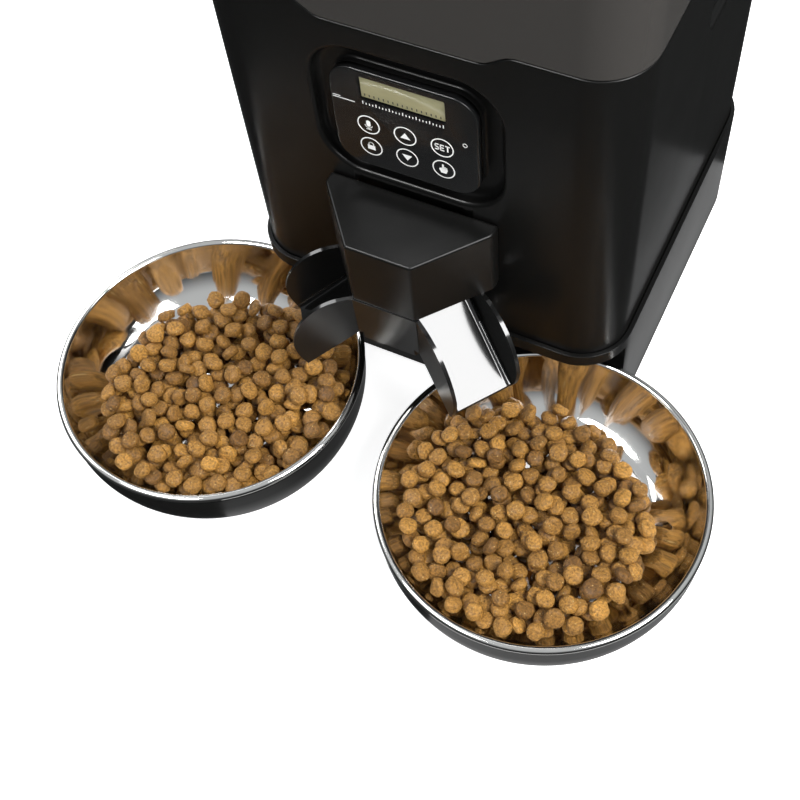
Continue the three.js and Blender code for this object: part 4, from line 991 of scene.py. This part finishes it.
def cheek(drop):
    """Outline of a cheek: level, then curling down to a rounded tip."""
    top = TRAY_TOP - drop
    over = bezier([(6, top), (20, top - 0.5), (30, 88.5), (30.5, 76.5)], 30)
    under = floor_along(26) - 1.5
    lower = []
    for i in range(1, 13):
        t = i / 12
        lower.append(((1 - t) ** 2 * 30.5 + 2 * t * (1 - t) * 30 + t * t * 26,
                      (1 - t) ** 2 * 76.5 + 2 * t * (1 - t) * 68.5 + t * t * under))
    return [(-20, top)] + over + lower + [(-20, floor_along(-20) - 1.5)]


def half_plan(corner, front):
    """Plan of half the body between the two channels."""
    far = (corner + CHUTE_WIDTH * FACE[0], front + CHUTE_WIDTH * FACE[1])
    return [(-1, front), (corner, front), far, (26, 4), (-1, 4)]


print("channel falls from", floor_along(0), "to", round(floor_along(26), 1))


# %% Splitter tray
def make_tray():
    """Right half first: pieces overlap a little everywhere, so every cut is clean."""
    ledge = half_plan(FRONT_HALF + 0.3, FRONT_Y - 0.6)
    body = solid("tray", *loft([on_plan(half_plan(FRONT_HALF, FRONT_Y), 75),
                                on_plan(ledge, TRAY_TOP - 5), on_plan(ledge, TRAY_TOP)]))
    slab = [(-21, floor_along(-21) + 0.4), (26, floor_along(26) + 0.4)]
    slab += [(26, floor_along(26) - 2), (-21, floor_along(-21) - 2)]
    additions = [face_prism("floor", slab, 0.9, 33.1), face_prism("cheek", cheek(0.04), 0, 2.3)]
    additions.append(face_prism("cheek", cheek(3), 31.7, CHUTE_WIDTH))
    combine(body, "UNION", *additions)
    section = [(1.8, 100), (1.8, 3)] + arc(4.8, 3, 3, 180, 270, 8)[1:-1] + [(4.8, 0), (29.2, 0)]
    section += arc(29.2, 3, 3, 270, 360, 8)[1:-1] + [(32.2, 3), (32.2, 100)]
    rings = [[from_face(s, t, floor_along(s) + h) for t, h in section] for s in (-70, 60)]
    channel = solid("channel", *loft(rings))
    low = 1.45
    under = [(-60, 0), (60, 0), (60, floor_along(60) - low), (-2, floor_along(-2) - low)]
    under += [(-2, 76), (-60, 76)]
    combine(body, "DIFFERENCE", channel, face_prism("under", under, -20, 54))
    combine(body, "INTERSECT", brick("own_side", -0.1, 200, -200, TRAY_BACK, 0, 200))
    mirrored = body.copy()
    mirrored.data = body.data.copy()
    scene.collection.objects.link(mirrored)
    mirrored.data.transform(Matrix.Scale(-1, 4, (1, 0, 0)))
    outward(mirrored)
    combine(body, "UNION", mirrored, brick("tongue", -10, 10, 1.2, 7.1, 90, 95))
    soften(body, 0.5, 3, 40)
    return body


tray = make_tray()
dress(tray, "splitter", chute_black, "satin_abs", "splitter_tray")
print("tray faces", len(tray.data.polygons))

# %% [markdown]
# ## Bowls and holders
# A bowl is pressed from one disc of steel, so a lathe profile gives it whole: floor, wall and the
# rolled rim. The holder is a moulded cup that the rim rests on, a second profile about the same
# axis. A screw modifier would turn the same profile, but these rings also close the middle.

# %% Profile of a bowl
BOWL_FLOOR = 20
INNER_WALL = [(42, BOWL_FLOOR), (58, BOWL_FLOOR + 0.5), (66.4, BOWL_FLOOR + 9), (71.4, 48.2)]


def bowl_profile():
    inside = bezier(INNER_WALL, 30)
    outside = [(r + 0.75, z - 1) for r, z in inside[:-1]]
    roll = arc(73.2, 48.2, 1.8, -60, 180, 18)[:-1]
    below = [(0, BOWL_FLOOR - 1), (0.01, BOWL_FLOOR - 1)]
    above = [(20, BOWL_FLOOR), (0.01, BOWL_FLOOR), (0, BOWL_FLOOR)]
    return below + outside + [(72.4, 47.0)] + roll + inside[::-1] + above


print("bowl profile points", len(bowl_profile()))

# %% Profile of a holder
HOLDER_WALL = [(50, 0), (62, 3), (74.2, 24), (74.2, 38)]


def holder_profile():
    outside = bezier(HOLDER_WALL, 24) + [(74.2, 45.1)] + arc(73.6, 45.5, 0.6, 0, 90, 4)
    inside = arc(72.6, 45.5, 0.6, 90, 180, 4)
    inside += bezier([(72, 39), (71.6, 25.5), (60.6, 5.4), (50, 2.6)], 20)
    return [(0, 0), (0.01, 0)] + outside + inside + [(0.01, 2.6), (0, 2.6)]


for side, name in ((-1, "left"), (1, "right")):
    bowl = lathe("bowl_" + name + "_steel", bowl_profile(), side * BOWL_X, BOWL_Y)
    dress(bowl, "bowl_" + name, polished_steel, "polished_steel", "bowl_" + name)
    soften(bowl, 0, clean=False)
    holder = lathe("holder_" + name + "_cup", holder_profile(), side * BOWL_X, BOWL_Y)
    dress(holder, "holder_" + name, satin_black, "satin_abs", "bowl_holder_" + name)
    soften(holder, 0, clean=False)
print("bowls ready")

# %% [markdown]
# ## Dry food
# Each bowl holds a heap of baked pieces about 9.6 mm across. They could be dropped as rigid bodies,
# but a heap that is laid piece by piece on a height map looks the same, takes a second, and is
# always identical: each piece tries a few places, takes the lowest, tilts with the ground there,
# and then raises the map by its own shape.

# %% One baked piece
def wall_height(radius):
    """Height of the bowl's inside at each radius."""
    profile = np.array(bezier(INNER_WALL, 60))
    return np.interp(radius, profile[:, 0], profile[:, 1], left=BOWL_FLOOR, right=80)


def kibble_shape(rng):
    """One lumpy disc with rounded edges: unit points and faces."""
    columns, rows = 18, 9
    across = rng.uniform(4.0, 4.8)
    deep = across * rng.uniform(0.9, 1.0)
    thick = rng.uniform(2.1, 2.9)
    waves = [(rng.normal(size=3), rng.uniform(0, 6.28), rng.uniform(0.012, 0.035)) for _ in range(7)]
    dent = rng.uniform(0.0, 0.12)
    points = []
    for row in range(rows + 1):
        polar = math.pi * row / rows
        for column in range(columns if 0 < row < rows else 1):
            turn = 2 * math.pi * column / columns
            ring = abs(math.sin(polar)) ** 0.45
            rise = math.copysign(abs(math.cos(polar)) ** 0.9, math.cos(polar))
            way = np.array([ring * math.cos(turn), ring * math.sin(turn), rise])
            swell = 1 + sum(size * math.sin(3.2 * float(axis @ way) + phase) for axis, phase, size in waves)
            flat = 1 - dent * (1 - ring) if abs(rise) > 0.5 else 1
            points.append((way[0] * across * swell, way[1] * deep * swell, way[2] * thick * swell * flat))
    faces = []
    for column in range(columns):
        after = (column + 1) % columns
        faces.append((0, 1 + column, 1 + after))
        for row in range(rows - 2):
            a = 1 + row * columns
            b = a + columns
            faces.append((a + column, b + column, b + after, a + after))
        last = 1 + (rows - 2) * columns
        faces.append((last + column, last + columns, last + after))
    return np.array(points), faces


print("bowl wall at half radius", round(float(wall_height(36)), 1))


# %% Laying a heap
def heap(seed, count, cx, cy, lean_x, lean_y):
    """Lays the pieces and returns points, faces and one tint per point."""
    rng = np.random.default_rng(seed)
    shapes = [kibble_shape(rng) for _ in range(14)]
    step = 0.75
    half = 84
    axis = np.arange(-half, half + step, step)
    gx, gy = np.meshgrid(axis, axis, indexing="ij")
    ground = wall_height(np.hypot(gx, gy))
    points, faces, tints = [], [], []
    total = 0
    for number in range(count):
        shape, shape_faces = shapes[number % len(shapes)]
        best = None
        for _ in range(26):
            spread = 57 * math.sqrt(rng.uniform())
            turn = rng.uniform(0, 2 * math.pi)
            x = spread * math.cos(turn) + lean_x
            y = spread * math.sin(turn) + lean_y
            if math.hypot(x, y) > 65:
                continue
            i = int((x + half) / step)
            j = int((y + half) / step)
            pad = ground[i - 7:i + 8, j - 7:j + 8]
            slope_x = float((pad[-4:].mean() - pad[:4].mean()) / (11 * step))
            slope_y = float((pad[:, -4:].mean() - pad[:, :4].mean()) / (11 * step))
            tilt_x = -slope_x * 0.9 + rng.normal() * 0.15
            tilt_y = -slope_y * 0.9 + rng.normal() * 0.15
            normal = np.array([tilt_x, tilt_y, 1.0])
            if rng.uniform() < 0.45:
                normal[:2] += rng.normal(size=2)
            normal /= np.linalg.norm(normal)
            spin = rng.uniform(0, 2 * math.pi)
            side = np.array([math.cos(spin), math.sin(spin), 0])
            side -= normal * float(side @ normal)
            side /= np.linalg.norm(side)
            turned = shape @ np.array([side, np.cross(normal, side), normal])
            low = turned[turned[:, 2] < 0.5]
            ix = ((x + low[:, 0] + half) / step).astype(int)
            iy = ((y + low[:, 1] + half) / step).astype(int)
            lift = float((ground[ix, iy] - low[:, 2]).max())
            away = math.hypot(x - lean_x, y - lean_y)
            score = lift + 0.012 * away
            if best is None or score < best[0]:
                best = (score, x, y, i, j, lift, turned)
        _, x, y, i, j, lift, turned = best
        z = lift - 0.55
        dx = gx[i - 9:i + 10, j - 9:j + 10] - x
        dy = gy[i - 9:i + 10, j - 9:j + 10] - y
        distance = (dx[..., None] - turned[:, 0]) ** 2 + (dy[..., None] - turned[:, 1]) ** 2
        tops = np.where(distance < 0.81, z + turned[:, 2], -1e9).max(axis=-1)
        patch = ground[i - 9:i + 10, j - 9:j + 10]
        ground[i - 9:i + 10, j - 9:j + 10] = np.maximum(patch, tops)
        tint = float(np.clip(rng.normal(0.5, 0.22), 0, 1))
        points += [(cx + x + p[0], cy + y + p[1], z + p[2]) for p in turned]
        faces += [tuple(total + k for k in face) for face in shape_faces]
        tints += [tint] * len(shape)
        total += len(shape)
    return points, faces, tints


# %% Two full bowls
PIECES = 345
LEAN = 7

for side, name in ((-1, "left"), (1, "right")):
    points, faces, tints = heap(11 + side, PIECES, side * BOWL_X, BOWL_Y, -side * LEAN, -LEAN)
    food = make_object("kibble_" + name, points, faces)
    layer = food.data.attributes.new("tint", "FLOAT", "POINT")
    layer.data.foreach_set("value", tints)
    dress(food, "bowl_" + name, kibble, None)
    print("kibble", name, len(points) // 146, "pieces, top", round(max(p[2] for p in points), 1))

# %% [markdown]
# ## The pieces that keep their solids
# Everything else is right in shape already. Each node gets its finish, and modifiers weld it,
# merge its flat faces, round its edges a little and even out the shading.

# %% Finishes of the other pieces
FINISHES = {
    "satin_abs": (satin_black, """stand base_plate battery_door battery_bay dc_inlet outlet_chute
                  release_button_left release_button_right rotor_chamber baffle_plate funnel lid
                  lid_latch desiccant_case desiccant_cover"""),
    "smoked_tank": (smoked_tank, "hopper"),
    "lcd": (lcd, "lcd_display"),
    "circuit_board": (circuit_board, "control_board"),
    "white_abs": (white_abs, "chassis_plate gearbox_case gearbox_cover drive_gear desiccant_bag"),
    "grey_rotor": (grey_rotor, "rotor agitator"),
    "rubber": (rubber, """foot_1 foot_2 foot_3 foot_4 touch_pad_record touch_pad_up touch_pad_set
               touch_pad_lock touch_pad_down touch_pad_feed"""),
    "silicone": (silicone, "lid_seal"),
    "cell_wrap": (cell_wrap, "battery_cell_1 battery_cell_2 battery_cell_3"),
    "polished_steel": (polished_steel, "drive_shaft lid_hinge_pin_1 lid_hinge_pin_2"),
    "zinc_steel": (zinc_steel, """battery_contact_front battery_contact_rear base_screw_1
                   base_screw_2 base_screw_3 base_screw_4 motor speaker microphone"""),
    "brass": (brass, "motor_pinion"),
}
ROUNDS = {"stand": 0.8, "hopper": 0.6, "lid": 0.8, "lid_latch": 0.6,
          "release_button_left": 0.5, "release_button_right": 0.5}
SMALL_ROUND = 0.15

for slot, (material, names) in FINISHES.items():
    for name in names.split():
        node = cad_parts[name]
        node.data.materials.clear()
        node.data.materials.append(material)
        soften(node, ROUNDS.get(name, SMALL_ROUND), 3 if name in ROUNDS else 1)
print("nodes dressed", sum(len(names.split()) for _, names in FINISHES.values()))

# %% [markdown]
# ## Floor
# Black plastic shows little but its reflections, so what it mirrors is chosen piece by piece. The
# pale floor glows a little, which fills every shadow, but gloss doesn't mirror it, or the tall
# walls would turn grey. Three small patches close by are mirrored only in gloss, so the lowest
# walls pick up the white table that they stand on.

# %% Floor
def make_floor():
    material, nodes, links, shader = new_material("floor", (0.85, 0.85, 0.85), 0.7)
    texture = use_group(nodes, GRAIN, Scale=400, Roughness=0.7, Spread=0.02)
    links.new(texture.outputs["Roughness"], shader.inputs["Roughness"])
    shader.inputs["Emission Color"].default_value = (1, 1, 1, 1)
    shader.inputs["Emission Strength"].default_value = 0.85
    ring = [(-1800, -1800), (1800, -1800), (1800, 1800), (-1800, 1800)]
    floor = make_object("floor", on_plan(ring, -0.05), [(0, 1, 2, 3)], smooth=False)
    floor.data.materials.append(material)
    floor.visible_glossy = False


make_floor()


# %% Patches that only gloss mirrors
def gloss_patch(name, points, faces, material):
    patch = make_object(name, points, faces, smooth=False)
    patch.data.materials.append(material)
    for kind in ("camera", "diffuse", "shadow", "transmission"):
        setattr(patch, "visible_" + kind, False)


def make_near_floor():
    """The white table close by, which only the gloss of the lowest walls shows."""
    material, _, _, shader = new_material("near_floor", (0.3, 0.3, 0.3), 0.7)
    shader.inputs["Emission Color"].default_value = (1, 1, 1, 1)
    shader.inputs["Emission Strength"].default_value = 0.15
    steps = 40
    for side in (-1, 1):
        start = -115 * side
        inner, outer = (arc(side * BOWL_X, BOWL_Y, radius, start, start + side * 175, steps)
                        for radius in (50, 108))
        rings = on_plan(inner, -0.02) + on_plan(outer, -0.02)
        faces = [(i, i + steps + 1, i + steps + 2, i + 1) for i in range(steps)]
        gloss_patch("near_floor_" + str(side), rings, faces, material)
    strip = [(96, 30), (116, 30), (116, 195), (96, 195)]
    gloss_patch("near_floor_side", on_plan(strip, -0.02), [(0, 1, 2, 3)], material)


make_near_floor()

# %% [markdown]
# ## Lamps
# One large softbox stands high on the right and a wide weaker one on the left. A long strip above
# the front gives the bright lines on the bowls; it is hidden from diffuse rays, so it adds gloss
# without washing out the food. Point lamps would give hard shadows and small hot spots instead.

# %% Lamps
def pose_matrix(right, up, back, place):
    rows = [[right[i], up[i], back[i], place[i]] for i in range(3)]
    return Matrix(rows + [[0, 0, 0, 1]])


def area_light(name, direction, distance, size, power):
    """A rectangle that looks at the feeder from the given direction, in metres and watts."""
    light = bpy.data.lights.new(name, "AREA")
    light.shape = "RECTANGLE"
    light.size = size[0]
    light.size_y = size[1]
    light.energy = power
    obj = bpy.data.objects.new(name, light)
    back = np.array(direction) / np.linalg.norm(direction)
    target = np.array([0, -0.02, 0.08])
    obj.location = target + back * distance
    right = np.cross([0, 0, 1], back)
    right /= np.linalg.norm(right)
    obj.matrix_world = pose_matrix(right, np.cross(back, right), back, obj.location)
    scene.collection.objects.link(obj)
    return obj


area_light("softbox", (0.646, -0.164, 0.746), 1.6, (0.74, 0.74), 36)
area_light("left_box", (-0.735, 0.167, 0.652), 1.9, (1.0, 1.0), 20)
glint = area_light("front_strip", (-0.3, -0.4, 0.86), 1.7, (0.8, 0.3), 34)
glint.visible_diffuse = False
print("lamps", len(bpy.data.lights))

# %% [markdown]
# ## Camera
# The feeder is seen from high on its front right, from about a long arm's length. Two angles turn
# the camera round the feeder and a third rolls it, because nobody holds a camera quite level. A
# constraint that tracks the feeder would be easier, but it can't roll.

# %% Camera
AZIMUTH = 0.588
ELEVATION = 1.020
ROLL = -0.152
CAMERA_PLACE = (178.563, -298.840, 550.512)


def make_camera():
    back = np.array([math.sin(AZIMUTH) * math.cos(ELEVATION),
                     -math.cos(AZIMUTH) * math.cos(ELEVATION), math.sin(ELEVATION)])
    right = np.array([math.cos(AZIMUTH), math.sin(AZIMUTH), 0])
    up = np.cross(back, right)
    c, s = math.cos(ROLL), math.sin(ROLL)
    right, up = c * right + s * up, -s * right + c * up
    camera = bpy.data.cameras.new("camera")
    camera.lens = 56.83
    camera.sensor_width = 36
    camera.clip_start = 0.01
    obj = bpy.data.objects.new("camera", camera)
    obj.matrix_world = pose_matrix(right, up, back, to_frame(CAMERA_PLACE))
    scene.collection.objects.link(obj)
    scene.camera = obj


make_camera()
print("camera at", [round(v, 4) for v in scene.camera.matrix_world.translation])

# %% [markdown]
# ## Room
# The room is dark near the horizon and brighter above, so upright walls stay black and level faces
# get a soft sheen. Gloss looks through the floor, so one bright patch, low behind the feeder,
# stands in for the white floor that faces at a glancing angle mirror. The patch is fixed to the
# room, along the main line of sight, so it helps that view most. The camera itself sees a pale
# backdrop. An image of a studio would do too, but a few nodes keep every brightness in reach.

# %% Room
def make_world():
    world = bpy.data.worlds.new("studio")
    world.use_nodes = True
    sky = world.node_tree.nodes
    links = world.node_tree.links
    room = sky.new("ShaderNodeTexCoord")
    split = sky.new("ShaderNodeSeparateXYZ")
    height = sky.new("ShaderNodeMapRange")
    height.interpolation_type = "SMOOTHSTEP"
    height.inputs["From Min"].default_value = -0.05
    height.inputs["From Max"].default_value = 0.75
    height.inputs["To Min"].default_value = 0.035
    height.inputs["To Max"].default_value = 0.6
    behind = sky.new("ShaderNodeVectorMath")
    behind.operation = "DOT_PRODUCT"
    behind.inputs[1].default_value = (-0.29, 0.435, -0.852)
    patch = sky.new("ShaderNodeMapRange")
    patch.inputs["From Min"].default_value = 0.93
    patch.inputs["From Max"].default_value = 0.99
    patch.inputs["To Max"].default_value = 0.9
    total = sky.new("ShaderNodeMath")
    seen = sky.new("ShaderNodeLightPath")
    backdrop = sky.new("ShaderNodeMix")
    backdrop.inputs["B"].default_value = 0.95
    sky["Background"].inputs["Color"].default_value = (0.95, 0.98, 1.0, 1)
    links.new(room.outputs["Generated"], split.inputs["Vector"])
    links.new(split.outputs["Z"], height.inputs["Value"])
    links.new(room.outputs["Generated"], behind.inputs[0])
    links.new(behind.outputs["Value"], patch.inputs["Value"])
    links.new(height.outputs["Result"], total.inputs[0])
    links.new(patch.outputs["Result"], total.inputs[1])
    links.new(seen.outputs["Is Camera Ray"], backdrop.inputs["Factor"])
    links.new(total.outputs["Value"], backdrop.inputs["A"])
    links.new(backdrop.outputs["Result"], sky["Background"].inputs["Strength"])
    return world


scene.world = make_world()
scene.view_settings.view_transform = "Standard"
scene.view_settings.look = "None"
print("room nodes", len(scene.world.node_tree.nodes))
